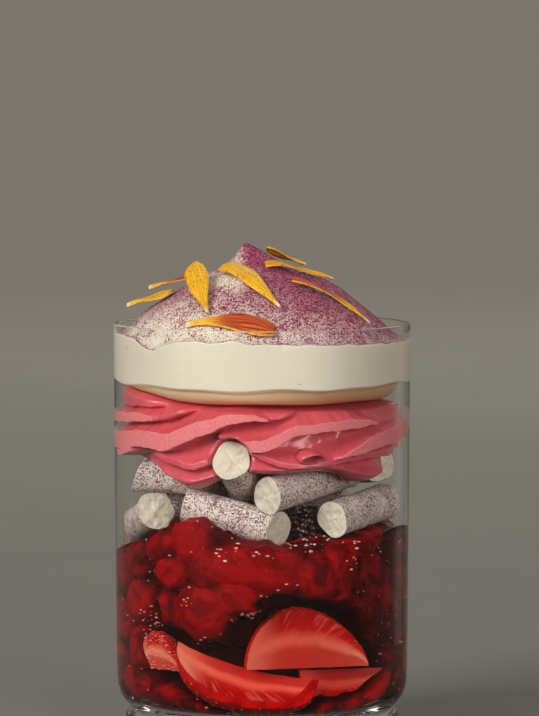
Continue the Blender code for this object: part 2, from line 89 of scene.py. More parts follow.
# Each stick: cut end that shows, far end, then how far the first cut leans from square, to
# the side and upwards, in degrees
STICKS = {
    "left_upper": ((-32.0, -7.6, 72.7), (-15.5, -14.9, 72.1), 6.0, 26.0),
    "left_lower": ((-28.0, -16.1, 63.7), (-33.0, 0.5, 58.2), 8.0, -6.0),
    "front_leaning": ((-8.0, -33.4, 78.8), (-4.3, -16.5, 70.0), 3.0, -15.0),
    "front_lying": ((4.4, -26.6, 59.8), (-19.9, -21.1, 65.8), -24.0, 0.0),
    "right_upper": ((1.4, -32.0, 69.3), (23.2, -3.4, 73.4), -6.0, 0.0),
    "right_lower": ((18.4, -26.4, 62.5), (33.0, -1.4, 64.8), -14.0, 0.0),
    "middle_upper": ((-16.0, -4.0, 71.0), (5.0, -1.5, 70.5), 5.0, 0.0),
    "middle_lower": ((-19.0, -6.0, 60.0), (4.6, -7.6, 60.1), 0.0, 0.0),
    "inner_lower": ((-16.0, 8.0, 60.5), (2.0, 17.0, 60.5), 6.0, 0.0),
    "inner_upper": ((-10.0, 10.0, 71.0), (12.0, 12.0, 71.0), 0.0, 0.0),
    "back_left_lower": ((-28.0, 14.8, 60.5), (-12.0, 27.5, 61.0), 5.0, 0.0),
    "back_left_upper": ((-30.0, 10.0, 71.5), (-14.0, 26.0, 72.0), -5.0, 0.0),
    "back_lower": ((0.0, 31.0, 61.0), (23.0, 19.5, 60.5), 8.0, 0.0),
    "back_upper": ((-4.0, 31.0, 72.0), (18.0, 24.5, 71.5), 0.0, 0.0),
    "back_right_lower": ((29.0, 8.5, 60.5), (8.5, 6.5, 60.5), 4.0, 0.0),
    "back_right_upper": ((31.5, 3.5, 74.0), (26.5, 16.0, 72.2), 0.0, 0.0),
}

# Each piece of strawberry: length, radius, first and last angle of its skin about the core,
# middle of the core, yaw, pitch, sag of the core
STRAWBERRIES = {
    "front_right": (32.5, 16.2, -2.0, 84.0, (11.9, -28.2, 23.5), 14.0, 0.0, 0.0),
    "front_left": (37.5, 12.0, 163.0, 219.0, (-3.4, -26.6, 25.2), -4.0, 15.0, 2.0),
    "low_right": (24.0, 8.8, 105.0, 184.0, (20.5, -20.6, 22.2), 24.0, 2.0, 0.0),
    "crushed_left": (13.5, 10.0, -6.0, 78.0, (-26.4, -21.8, 22.3), -40.0, 0.0, 0.0),
}

# The skin of this one comes up round the far end and the lower edge of its cut face
WRAPPED_STRAWBERRY = "front_left"

# Each petal: base x and y, tip x and y, width, lift of base and tip off the dome, roll,
# and where its red shows: from the claw at 0 to the tip at 1, share of red
PETALS = {
    "upright": ((-14.2, -28.2), (-18.7, -9.6), 5.6, 1.0, 5.4, 0.0, 0.0),
    "centre": ((5.0, -27.0), (-10.8, -7.8), 6.2, 0.1, 0.9, 0.05, 0.0),
    "front": ((-20.4, -27.7), (3.9, -34.8), 5.2, 0.0, 0.0, 0.0, 1.0),
    "right": ((28.9, -17.4), (7.6, -16.6), 4.4, 0.0, 0.9, 0.34, 1.0),
    "right_edge": ((19.4, -2.6), (0.4, -9.6), 3.8, 0.7, 0.0, 0.12, 0.45),
    "right_behind": ((12.0, 3.4), (1.0, 2.0), 3.6, 0.2, 0.9, 0.2, 0.3),
    "left_near": ((-36.4, -3.0), (-23.6, -6.2), 4.8, 5.2, 0.2, 0.0, 0.15),
    "left_behind": ((-30.8, 5.0), (-17.4, 8.0), 4.6, 4.9, 0.2, 0.3, 1.0),
    "back_left": ((-20.0, 22.0), (-6.0, 12.5), 5.6, 0.0, 0.7, 0.0, 0.2),
    "back_right": ((25.0, 17.5), (9.5, 24.5), 5.2, 0.0, 0.5, 0.1, 0.7),
}

# Ruffles of the ice cream: reach towards the glass, then stations of azimuth, height and
# half-height. A reach of 1 presses a flat band on the glass.
RUFFLES = (
    (1.0, ((-100, 87.0, 1.2), (-86, 88.2, 1.7), (-73, 88.5, 1.6), (-55, 89.3, 1.3), (-45, 88.8, 0.2))),
    (1.0, ((-128, 79.5, 0.6), (-110, 80.5, 2.2), (-92, 82.0, 2.8), (-73, 82.5, 2.7), (-55, 83.8, 2.6),
           (-44, 83.2, 2.8), (-39, 83.4, 2.6), (-31, 86.0, 2.5), (-23, 87.6, 2.3), (-15, 89.5, 1.8),
           (-9, 90.3, 1.3), (-3, 90.2, 0.9), (6, 89.2, 0.1))),
    (1.0, ((-20, 85.4, 0.2), (-15, 84.4, 0.8), (-9, 83.0, 1.4), (-5, 82.7, 1.8), (1, 82.9, 1.9),
           (4, 83.6, 2.0), (8, 85.1, 2.0), (11, 86.5, 1.7), (17, 87.1, 1.5), (24, 87.4, 1.4),
           (32, 87.9, 1.5), (41, 88.1, 1.4), (47, 88.1, 0.9), (56, 87.6, 0.1))),
    (1.0, ((29, 78.9, 0.1), (36, 79.9, 0.7), (40, 80.8, 1.2), (46, 82.0, 2.1), (54, 83.5, 2.4),
           (66, 84.2, 2.6), (80, 85.8, 2.4), (92, 87.6, 1.8), (102, 88.4, 0.3))),
    (1.0, ((-84, 78.8, 0.8), (-73, 79.1, 1.0), (-66, 80.2, 0.8), (-60, 80.3, 0.2))),
    (1.0, ((96, 79.0, 0.4), (106, 80.2, 2.2), (124, 82.6, 2.6), (142, 86.0, 2.3), (158, 88.4, 1.4),
           (168, 88.6, 0.3))),
    (1.0, ((150, 80.0, 0.4), (162, 81.4, 2.2), (180, 83.0, 2.6), (198, 86.6, 2.2), (216, 88.4, 1.4),
           (226, 88.4, 0.3))),
    (1.0, ((206, 80.0, 0.4), (218, 81.2, 2.0), (236, 83.6, 2.4), (252, 86.4, 2.0), (266, 87.8, 1.0),
           (272, 87.8, 0.3))),
    (0.85, ((-130, 91.5, 1.0), (-110, 93.0, 2.4), (-80, 93.6, 2.6), (-58, 93.2, 1.4), (-44, 92.4, 0.3))),
    (0.74, ((-64, 89.0, 0.3), (-54, 88.8, 0.4), (-48, 88.9, 0.5), (-39, 90.2, 0.5), (-31, 92.0, 0.5),
            (-25, 93.6, 0.3))),
    (0.74, ((-14, 89.9, 0.3), (-6, 90.0, 0.4), (1, 89.6, 0.5), (7, 90.3, 0.5), (13, 91.4, 0.5),
            (20, 93.4, 0.3))),
    (0.74, ((38, 88.0, 0.3), (46, 87.8, 0.4), (51, 87.8, 0.5), (66, 88.4, 0.5), (80, 90.4, 0.5),
            (94, 92.6, 0.3))),
    (0.72, ((-60, 80.3, 0.5), (-49, 79.5, 0.8), (-39, 77.9, 0.9), (-31, 76.9, 0.9), (-25, 77.6, 0.9),
            (-19, 80.0, 0.8), (-12, 82.0, 0.6), (-5, 81.4, 0.9), (4, 78.6, 0.9), (13, 77.3, 0.9),
            (23, 77.2, 0.9), (32, 78.4, 0.9), (46, 79.2, 0.9), (66, 79.4, 0.9), (84, 80.6, 0.6))),
    (0.62, ((100, 77.4, 0.6), (116, 78.4, 0.9), (136, 79.0, 0.9), (156, 77.6, 0.9), (176, 78.4, 0.9),
            (198, 78.8, 0.9), (220, 77.6, 0.9), (244, 78.4, 0.9), (262, 78.8, 0.6))),
    (0.55, ((-66, 75.2, 0.5), (-52, 74.2, 1.2), (-40, 72.6, 1.4), (-28, 72.2, 1.4), (-20, 74.0, 1.0),
            (-8, 76.4, 0.8), (6, 75.6, 0.9), (20, 75.0, 0.9), (38, 74.8, 1.0), (52, 73.2, 1.2),
            (62, 73.2, 1.1), (76, 75.4, 0.7))),
)

# Lobes that hang from the ice cream: azimuth, width in degrees, drop
HANGING_LOBES = (
    (-33.0, 15.0, 5.0),
    (4.0, 14.0, 0.8),
    (55.0, 15.0, 4.0),
    (118.0, 18.0, 3.6),
    (176.0, 17.0, 3.2),
    (236.0, 18.0, 3.4),
)

# Where the compote climbs or sinks against the glass: azimuth, width in degrees, height
COMPOTE_CRESTS = (
    (-32.0, 15.0, 6.0),
    (-94.0, 26.0, -5.4),
    (9.0, 12.0, -0.9),
    (70.0, 20.0, 2.8),
    (128.0, 16.0, 3.0),
    (172.0, 14.0, -1.2),
    (222.0, 20.0, 3.4),
)

# Soft berries pressed on the glass: azimuth, height, half sizes across and up, turn in
# degrees, and how bright each is, 0 for the darkest
PRESSED_BERRIES = (
    (-32.0, 57.6, 6.0, 6.0, -6.0, 1.0),
    (-47.0, 55.2, 6.8, 4.9, 14.0, 0.55),
    (-41.5, 48.4, 6.9, 4.5, -8.0, 0.85),
    (-64.0, 51.0, 6.4, 5.6, 24.0, 0.3),
    (-3.0, 50.4, 15.6, 6.6, -4.0, 0.9),
    (-10.0, 42.4, 9.6, 4.4, -6.0, 0.8),
    (-25.0, 39.2, 8.6, 7.9, 0.0, 0.85),
    (-24.5, 49.8, 5.4, 5.6, 20.0, 0.75),
    (23.5, 48.0, 5.8, 6.8, -30.0, 0.55),
    (35.5, 49.6, 5.4, 7.9, 4.0, 0.6),
    (48.0, 57.0, 9.6, 4.5, 14.0, 0.6),
    (53.0, 47.0, 6.6, 5.9, -10.0, 0.2),
    (66.0, 40.5, 4.0, 8.8, 0.0, 0.3),
    (80.0, 48.0, 7.2, 7.2, 20.0, 0.3),
    (84.0, 33.0, 7.2, 7.6, 0.0, 0.3),
    (-63.0, 39.8, 6.8, 6.4, -24.0, 0.65),
    (-45.0, 36.5, 5.6, 6.8, 0.0, 0.4),
    (-86.0, 46.0, 7.6, 7.2, 10.0, 0.4),
    (-82.0, 33.0, 7.6, 7.2, -14.0, 0.45),
    (-62.0, 26.5, 6.8, 6.4, 20.0, 0.5),
    (-66.0, 17.5, 8.2, 5.2, -8.0, 0.3),
    (-46.0, 16.4, 7.2, 4.4, 8.0, 0.4),
    (-88.0, 20.0, 7.4, 6.8, 0.0, 0.35),
    (-30.0, 13.6, 8.2, 3.0, 0.0, 0.2),
    (0.0, 13.0, 9.2, 2.6, 0.0, 0.2),
    (26.0, 13.4, 9.2, 3.0, 0.0, 0.25),
    (57.0, 17.4, 7.8, 4.2, 28.0, 1.2),
    (40.0, 13.6, 8.0, 3.2, 6.0, 0.7),
    (70.0, 22.0, 7.2, 5.6, -14.0, 0.3),
    (88.0, 18.0, 7.2, 5.8, 10.0, 0.3),
    (36.0, 41.0, 6.2, 4.4, 0.0, 0.3),
    (50.0, 35.0, 6.8, 6.2, 0.0, 0.15),
)

# Hollows full of syrup: azimuth, height, half sizes across and up, turn, depth
HOLLOWS = (
    (21.5, 29.6, 18.4, 11.2, 0.0, 13.0),
    (8.0, 41.0, 7.0, 2.4, 0.0, 9.0),
    (-9.5, 31.5, 4.4, 6.0, 0.0, 9.0),
    (-8.5, 20.5, 22.0, 8.8, -9.0, 12.0),
    (33.0, 21.8, 17.5, 7.0, 2.0, 11.0),
    (44.0, 24.5, 10.0, 5.0, 0.0, 9.0),
    (-44.0, 27.0, 8.0, 7.2, 0.0, 10.0),
    (-49.0, 36.0, 3.6, 4.2, 0.0, 3.5),
)

# Where painted glints are strewn over the wet heap: azimuth, height, half sizes across and up, turn,
# density
GLINTS = (
    (-54.5, 35.2, 3.4, 4.6, -20.0, 0.55),
    (-30.0, 57.5, 4.5, 3.2, 0.0, 0.10),
    (-16.5, 52.5, 1.6, 4.2, 20.0, 0.35),
    (-52.0, 50.0, 1.0, 4.6, 14.0, 0.4),
    (-2.0, 54.8, 9.0, 1.0, -6.0, 0.4),
    (21.0, 56.6, 8.0, 2.6, 10.0, 0.2),
    (40.0, 52.5, 3.0, 5.0, 0.0, 0.25),
    (-5.5, 38.6, 2.6, 0.7, 0.0, 0.8),
    (-12.0, 33.5, 1.0, 4.6, 0.0, 0.35),
    (-38.0, 41.0, 8.0, 3.0, 0.0, 0.06),
    (10.0, 46.0, 14.0, 5.0, 0.0, 0.03),
)

# Small helpers


def smoothstep(low, high, value):
    share = np.clip((value - low) / (high - low), 0.0, 1.0)
    return share * share * (3.0 - 2.0 * share)


def degrees_apart(azimuth, centre_deg):
    return (np.degrees(azimuth) - centre_deg + 180.0) % 360.0 - 180.0


def bump(azimuth, centre_deg, width_deg):
    return np.exp(-((degrees_apart(azimuth, centre_deg) / width_deg) ** 2))


def ring_azimuths(columns):
    return 2.0 * np.pi * np.arange(columns) / columns


def on_ring(radius, azimuth, z):
    """Points at an azimuth in radians; all three may be arrays."""
    radius, azimuth, z = np.broadcast_arrays(radius, azimuth, z)
    return np.stack([radius * np.sin(azimuth), -radius * np.cos(azimuth), z], -1)


def lumps(points, size, seed=0.0):
    """Smooth noise of about -1 to 1 at each point, with lumps of a size."""
    shift = Vector((seed * 7.3, seed * 3.1, seed * 5.7))
    flat = np.asarray(points, float).reshape(-1, 3)
    values = [noise.noise(Vector(p) / size + shift) for p in flat]
    return np.array(values).reshape(np.shape(points)[:-1])


def link(name, mesh, finish, closed=True):
    """An object of a mesh, whose faces are turned outwards if they enclose a negative room."""
    mesh.update()
    if closed:
        mesh.calc_loop_triangles()
        corners = np.zeros(3 * len(mesh.loop_triangles), np.int32)
        mesh.loop_triangles.foreach_get("vertices", corners)
        points = np.zeros(3 * len(mesh.vertices))
        mesh.vertices.foreach_get("co", points)
        a, b, c = points.reshape(-1, 3)[corners.reshape(-1, 3)].transpose(1, 0, 2)
        if np.sum(np.cross(a, b) * c) < 0.0:
            mesh.flip_normals()
    mesh.materials.append(finish)
    mesh.shade_smooth()
    piece = bpy.data.objects.new(name, mesh)
    bpy.context.scene.collection.objects.link(piece)
    return piece


def closed_body(name, rings, low_pole, high_pole, finish, marks=None):
    """A closed mesh of rings that run up and over between two poles. marks maps the name of
    an attribute to its values on the rings."""
    rings = np.asarray(rings, float)
    rows, columns, _ = rings.shape
    points = np.vstack([[low_pole], rings.reshape(-1, 3), [high_pole]]) * MM
    here = 1 + np.arange(rows * columns).reshape(rows, columns)
    right = np.roll(here, -1, axis=1)
    quads = np.stack([here[:-1], right[:-1], right[1:], here[1:]], -1).reshape(-1, 4)
    first = np.zeros(columns, int)
    low = np.stack([first, right[0], here[0]], -1)
    high = np.stack([first + len(points) - 1, here[-1], right[-1]], -1)
    mesh = bpy.data.meshes.new(name)
    mesh.from_pydata(points.tolist(), [], quads.tolist() + low.tolist() + high.tolist())
    for mark, values in (marks or {}).items():
        values = np.broadcast_to(np.asarray(values, float), (rows, columns))
        full = np.concatenate([[values[0].mean()], values.ravel(), [values[-1].mean()]])
        mesh.attributes.new(mark, "FLOAT", "POINT").data.foreach_set("value", full)
    return link(name, mesh, finish)


def dress(piece, slot_name, *nodes):
    """Attaches a finished piece to the root and hides the parts that it stands for."""
    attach(piece, "root")
    if nodes:
        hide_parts(*nodes)
    return piece


# Nodes of materials


def place(tree, kind, sockets=None, **settings):
    """A node with its settings; sockets maps an input to a value or to a link."""
    made = tree.nodes.new(kind)
    for key, value in settings.items():
        setattr(made, key, value)
    for key, value in (sockets or {}).items():
        if isinstance(value, bpy.types.NodeSocket):
            tree.links.new(value, made.inputs[key])
        else:
            made.inputs[key].default_value = value
    return made


def calc(tree, operation, *values):
    made = place(tree, "ShaderNodeMath", dict(enumerate(values)), operation=operation)
    return made.outputs[0]


def vector_calc(tree, operation, sockets, wanted="Vector"):
    return place(tree, "ShaderNodeVectorMath", sockets, operation=operation).outputs[wanted]


def remap(tree, value, low, high, to_low=0.0, to_high=1.0):
    sockets = {0: value, 1: low, 2: high, 3: to_low, 4: to_high}
    made = place(tree, "ShaderNodeMapRange", sockets, interpolation_type="SMOOTHSTEP")
    return made.outputs[0]


def mix(tree, share, low, high):
    sockets = {"Factor": share, "A": low, "B": high}
    made = tree.nodes.new("ShaderNodeMix")
    made.data_type = "RGBA"
    for socket in made.inputs:
        wanted = sockets.get(socket.name)
        fits = socket.type == ("VALUE" if socket.name == "Factor" else "RGBA")
        if wanted is None or not fits:
            continue
        if isinstance(wanted, bpy.types.NodeSocket):
            tree.links.new(wanted, socket)
        else:
            socket.default_value = wanted
    return next(out for out in made.outputs if out.type == "RGBA")


def spots(tree, scale, detail, roughness, at, distortion=0.0):
    sockets = {
        "Vector": at, "Scale": scale, "Detail": detail, "Roughness": roughness, "Distortion": distortion,
    }
    return place(tree, "ShaderNodeTexNoise", sockets).outputs["Fac"]


def mark_value(tree, name):
    return place(tree, "ShaderNodeAttribute", attribute_name=name).outputs["Fac"]


def object_place(tree):
    return place(tree, "ShaderNodeTexCoord").outputs["Object"]


def drawn_place(tree, x, y):
    """A place made of two values, for a pattern that follows the surface."""
    return place(tree, "ShaderNodeCombineXYZ", {"X": x, "Y": y}).outputs[0]


def relief(tree, height, strength, distance):
    sockets = {"Height": height, "Strength": strength, "Distance": distance}
    return place(tree, "ShaderNodeBump", sockets).outputs["Normal"]


def add_sockets(tree, inputs, outputs):
    """Gives a node group its named inputs and outputs, each with its kind."""
    for in_out, sockets in (("INPUT", inputs), ("OUTPUT", outputs)):
        for name, kind in sockets:
            tree.interface.new_socket(name, in_out=in_out, socket_type="NodeSocket" + kind)
    return tree.nodes.new("NodeGroupInput"), tree.nodes.new("NodeGroupOutput")


def new_material(name, **values):
    """A material and its tree and shader, with plain values set on the shader."""
    made = bpy.data.materials.new(name)
    made.use_nodes = True
    tree = made.node_tree
    shader = tree.nodes["Principled BSDF"]
    for key, value in values.items():
        shader.inputs[key.replace("_", " ")].default_value = value
    return made, tree, shader


def srgb(red, green, blue):
    """A colour given as 0 to 255, in linear light with alpha."""
    def linear(value):
        value /= 255.0
        return value / 12.92 if value <= 0.04045 else ((value + 0.055) / 1.055) ** 2.4
    return (linear(red), linear(green), linear(blue), 1.0)


def berry_powder_group():
    """Fine dark powder: where it lies and its colour, from how thick it is strewn."""
    group = bpy.data.node_groups.new("berry_powder", "ShaderNodeTree")
    start, end = add_sockets(
        group,
        [("Thickness", "Float"), ("Drift", "Float"), ("Grains per metre", "Float"),
         ("Light grain", "Color"), ("Dark grain", "Color")],
        [("Cover", "Float"), ("Colour", "Color")],
    )
    where = object_place(group)
    grains = start.outputs["Grains per metre"]
    warp = place(group, "ShaderNodeTexNoise", {"Vector": where, "Scale": grains, "Detail": 1.0})
    bend = vector_calc(group, "SCALE", {0: warp.outputs["Color"], "Scale": 0.0005})
    bent = vector_calc(group, "ADD", {0: where, 1: bend})
    patches = spots(group, 200.0, 3.0, 0.6, where)
    drift = calc(group, "MULTIPLY", calc(group, "SUBTRACT", patches, 0.5), start.outputs["Drift"])
    thick = calc(group, "MAXIMUM", calc(group, "ADD", start.outputs["Thickness"], drift), 0.02)
    covers = []
    for fineness, share in ((1.0, 0.82), (0.6, 0.6)):
        cells = place(
            group, "ShaderNodeTexVoronoi",
            {"Vector": bent, "Scale": calc(group, "MULTIPLY", grains, fineness)},
        )
        chance = place(group, "ShaderNodeSeparateColor", {0: cells.outputs["Color"]}).outputs[0]
        size = calc(group, "MULTIPLY", calc(group, "POWER", thick, 0.65), share)
        size = calc(group, "MULTIPLY", size, calc(group, "ADD", calc(group, "MULTIPLY", chance, 1.1), 0.12))
        near = calc(group, "SUBTRACT", size, cells.outputs["Distance"])
        covers.append(remap(group, near, -0.05, 0.09))
    cover = calc(group, "MAXIMUM", covers[0], covers[1])
    tone = remap(group, spots(group, calc(group, "MULTIPLY", grains, 0.6), 1.0, 0.5, where), 0.40, 0.62)
    colour = mix(group, tone, start.outputs["Light grain"], start.outputs["Dark grain"])
    group.links.new(cover, end.inputs["Cover"])
    group.links.new(colour, end.inputs["Colour"])
    return group


def use_group(tree, group, **sockets):
    made = tree.nodes.new("ShaderNodeGroup")
    made.node_tree = group
    for key, value in sockets.items():
        target = made.inputs[key.replace("_", " ")]
        if isinstance(value, bpy.types.NodeSocket):
            tree.links.new(value, target)
        else:
            target.default_value = value
    return made


# Materials


def glass_material():
    made, tree, shader = new_material(
        "clear_glass", Base_Color=(0.985, 0.992, 0.988, 1.0), Transmission_Weight=1.0, IOR=1.25
    )
    smears = spots(tree, 60.0, 3.0, 0.6, object_place(tree))
    tree.links.new(remap(tree, smears, 0.45, 0.75, 0.0, 0.035), shader.inputs["Roughness"])
    return made


def cream_material(powder):
    made, tree, shader = new_material(
        "white_cream", Subsurface_Weight=0.35, Subsurface_Scale=0.003, Subsurface_Radius=(1.0, 0.7, 0.45)
    )
    where = object_place(tree)
    # This mark is the powder's thickness, thinned on the tip's lit left face as a painted highlight
    dust_and_highlight = mark_value(tree, "dust_and_highlight")
    body = mix(tree, spots(tree, 45.0, 2.0, 0.5, where), srgb(236, 228, 206), srgb(243, 237, 218))
    # Painted shade and bounce light: the underside is given a warmer tan colour than the cream above
    painted_flank = mix(tree, spots(tree, 120.0, 3.0, 0.6, where), srgb(240, 208, 156), srgb(250, 230, 188))
    # Painted shade: the underside turns browner towards the right, away from the light
    aside = place(tree, "ShaderNodeSeparateXYZ", {0: where}).outputs["X"]
    painted_shade_right = calc(tree, "MULTIPLY", remap(tree, aside, -0.012, 0.032), 0.85)
    painted_flank = mix(tree, painted_shade_right, painted_flank, srgb(200, 152, 96))
    # Painted shade: small pits in the cream are darkened to a yellowish brown
    painted_pit_shade = calc(tree, "MULTIPLY", remap(tree, spots(tree, 420.0, 1.0, 0.5, where), 0.76, 0.80), 0.7)
    body = mix(tree, painted_pit_shade, body, srgb(196, 160, 92))
    body = mix(tree, mark_value(tree, "painted_flank"), body, painted_flank)
    grain = use_group(
        tree, powder, Thickness=dust_and_highlight, Drift=1.7, Grains_per_metre=2600.0,
        Light_grain=srgb(160, 56, 100), Dark_grain=srgb(96, 16, 54),
    )
    shown = calc(tree, "MULTIPLY", grain.outputs["Cover"], remap(tree, dust_and_highlight, 0.02, 0.12))
    veil = calc(tree, "MULTIPLY", remap(tree, dust_and_highlight, 0.3, 1.25), 0.9)
    hazed = mix(tree, veil, body, srgb(156, 54, 100))
    tree.links.new(mix(tree, shown, hazed, grain.outputs["Colour"]), shader.inputs["Base Color"])
    tree.links.new(remap(tree, shown, 0.0, 1.0, 0.42, 0.85), shader.inputs["Roughness"])
    height = calc(tree, "ADD", calc(tree, "MULTIPLY", shown, 0.6), spots(tree, 300.0, 3.0, 0.6, where))
    tree.links.new(relief(tree, height, 0.35, 0.0003), shader.inputs["Normal"])
    return made


def pink_material():
    made, tree, shader = new_material(
        "pink_ice_cream", Subsurface_Weight=0.2, Subsurface_Scale=0.0015, Subsurface_Radius=(1.0, 0.3, 0.3)
    )
    where = object_place(tree)
    press = mark_value(tree, "press")
    flow = place(tree, "ShaderNodeMapping", {"Vector": where, "Scale": (1.0, 1.0, 3.5)}).outputs[0]
    tint = spots(tree, 70.0, 3.0, 0.55, flow)
    # The folds away from the glass are darker and redder, which paints the shade of the recesses; the bands
    # pressed on the glass are paler, as pressed ice cream looks
    free_with_painted_shade = mix(tree, tint, srgb(216, 80, 96), srgb(234, 104, 114))
    fine = spots(tree, 2000.0, 2.0, 0.6, where)
    flat = mix(tree, remap(tree, fine, 0.25, 0.75), srgb(240, 124, 130), srgb(253, 150, 152))
    on_glass = remap(tree, press, 0.86, 0.97)
    tree.links.new(mix(tree, on_glass, free_with_painted_shade, flat), shader.inputs["Base Color"])
    tree.links.new(remap(tree, press, 0.82, 1.0, 0.22, 0.8), shader.inputs["Roughness"])
    grainy = calc(tree, "MULTIPLY", fine, calc(tree, "ADD", calc(tree, "MULTIPLY", on_glass, 0.9), 0.1))
    height = calc(tree, "ADD", grainy, spots(tree, 160.0, 2.0, 0.5, flow))
    tree.links.new(relief(tree, height, 0.4, 0.0005), shader.inputs["Normal"])
    return made


def meringue_material(powder):
    made, tree, shader = new_material(
        "dusted_meringue", Roughness=0.8, Subsurface_Weight=0.12, Subsurface_Scale=0.0015
    )
    where = object_place(tree)
    cut = mark_value(tree, "cut")
    pores = spots(tree, 900.0, 4.0, 0.7, where)
    inside = mix(tree, remap(tree, pores, 0.35, 0.55), srgb(222, 211, 184), srgb(240, 232, 212))
    skin = mix(tree, spots(tree, 250.0, 2.0, 0.5, where), srgb(238, 224, 212), srgb(248, 240, 230))
    grain = use_group(
        tree, powder, Thickness=0.56, Drift=1.3, Grains_per_metre=3000.0,
        Light_grain=srgb(160, 84, 112), Dark_grain=srgb(58, 18, 40),
    )
    dusted = mix(tree, grain.outputs["Cover"], skin, grain.outputs["Colour"])
    on_cut = remap(tree, cut, 0.35, 0.65)
    tree.links.new(mix(tree, on_cut, dusted, inside), shader.inputs["Base Color"])
    height = calc(tree, "ADD", pores, calc(tree, "MULTIPLY", grain.outputs["Cover"], 0.25))
    tree.links.new(relief(tree, height, 0.6, 0.0004), shader.inputs["Normal"])
    return made


def flesh_material():
    """Cut strawberry: pale core, a light ring, fine rays towards a red rim, and the skin."""
    made, tree, shader = new_material(
        "strawberry_flesh", Roughness=0.3, IOR=1.12,
        Subsurface_Weight=0.2, Subsurface_Scale=0.0015, Subsurface_Radius=(1.0, 0.3, 0.2),
    )
    core, pale, deep, rim = srgb(214, 116, 94), srgb(250, 200, 160), srgb(208, 50, 38), srgb(184, 6, 14)
    reach, along = mark_value(tree, "reach"), mark_value(tree, "along")
    where = object_place(tree)
    wobble = calc(tree, "MULTIPLY", calc(tree, "SUBTRACT", spots(tree, 160.0, 2.0, 0.5, where), 0.5), 0.22)
    depth = calc(tree, "ADD", reach, wobble)
    ramp = place(tree, "ShaderNodeValToRGB", {"Fac": depth})
    stops = ((0.0, core), (0.30, core), (0.42, pale), (0.50, pale), (0.68, deep), (0.86, rim))
    bands = ramp.color_ramp.elements
    while len(bands) < len(stops):
        bands.new(0.5)
    for band, (position, colour) in zip(bands, stops):
        band.position = position
        band.color = colour
    slant = calc(tree, "ADD", calc(tree, "MULTIPLY", along, 26.0), calc(tree, "MULTIPLY", reach, -7.0))
    ray_at = drawn_place(tree, slant, calc(tree, "MULTIPLY", reach, 1.6))
    rays = remap(tree, spots(tree, 1.0, 2.0, 0.5, ray_at), 0.52, 0.68)
    rays = calc(tree, "MULTIPLY", rays, remap(tree, reach, 0.42, 0.6))
    rays = calc(tree, "MULTIPLY", rays, 0.45)
    face = mix(tree, rays, ramp.outputs["Color"], pale)
    hull = calc(tree, "MULTIPLY", remap(tree, along, 0.30, 0.05), 0.85)
    face = mix(tree, hull, face, pale)
    peel = calc(tree, "ADD", mark_value(tree, "peel"), calc(tree, "MULTIPLY", wobble, 0.35))
    bruise = remap(tree, spots(tree, 210.0, 3.0, 0.6, where), 0.36, 0.62)
    wrapped = mix(tree, bruise, srgb(138, 2, 8), srgb(202, 16, 14))
    face = mix(tree, remap(tree, peel, -0.03, 0.03), face, wrapped)
    on_skin = remap(tree, mark_value(tree, "skin"), 0.4, 0.6)
    mottled = mix(tree, spots(tree, 260.0, 3.0, 0.6, where), srgb(206, 10, 18), srgb(236, 44, 30))
    tree.links.new(mix(tree, on_skin, face, mottled), shader.inputs["Base Color"])
    height = calc(tree, "ADD", spots(tree, 700.0, 3.0, 0.6, where), calc(tree, "MULTIPLY", rays, 0.8))
    tree.links.new(relief(tree, height, 0.3, 0.0003), shader.inputs["Normal"])
    return made


def seed_material():
    made, tree, shader = new_material("strawberry_seed", Roughness=0.3)
    tint = spots(tree, 500.0, 2.0, 0.5, object_place(tree))
    tree.links.new(mix(tree, tint, srgb(196, 120, 48), srgb(232, 178, 92)), shader.inputs["Base Color"])
    return made


def soft_berry_material():
    """Berries cooked soft: each has its own brightness, and painted shade darkens the deep parts."""
    made, tree, shader = new_material(
        "soft_berry", Roughness=0.3, IOR=1.1,
        Subsurface_Weight=0.25, Subsurface_Scale=0.0015, Subsurface_Radius=(1.0, 0.08, 0.06),
    )
    where = object_place(tree)
    patch = remap(tree, spots(tree, 130.0, 5.0, 0.65, where, 1.2), 0.36, 0.64)
    bright = calc(tree, "MULTIPLY", calc(tree, "ADD", mark_value(tree, "tone"), patch), 0.6)
    body = mix(tree, remap(tree, bright, 0.1, 1.05), srgb(60, 0, 2), srgb(164, 0, 6))
    # Painted shade: the deeper the heap lies behind the glass, the darker its colour
    deep = remap(tree, mark_value(tree, "depth"), 0.6, 5.0)
    body = mix(tree, deep, body, srgb(44, 0, 3))
    fleck = remap(tree, spots(tree, 800.0, 2.0, 0.6, where), 0.73, 0.80)
    tree.links.new(mix(tree, fleck, body, srgb(200, 44, 34)), shader.inputs["Base Color"])
    height = calc(tree, "ADD", spots(tree, 520.0, 4.0, 0.65, where), spots(tree, 170.0, 3.0, 0.6, where))
    tree.links.new(relief(tree, height, 0.6, 0.0010), shader.inputs["Normal"])
    return made


def painted_glint_material():
    """Pale specks that paint the highlights of air bubbles and wet surfaces in the syrup: painted glints.
    """
    made, tree, shader = new_material("wet_glint", Roughness=0.25)
    pale = remap(tree, spots(tree, 900.0, 1.0, 0.5, object_place(tree)), 0.35, 0.65)
    colour = mix(tree, pale, srgb(255, 150, 130), srgb(255, 244, 236))
    tree.links.new(colour, shader.inputs["Base Color"])
    return made


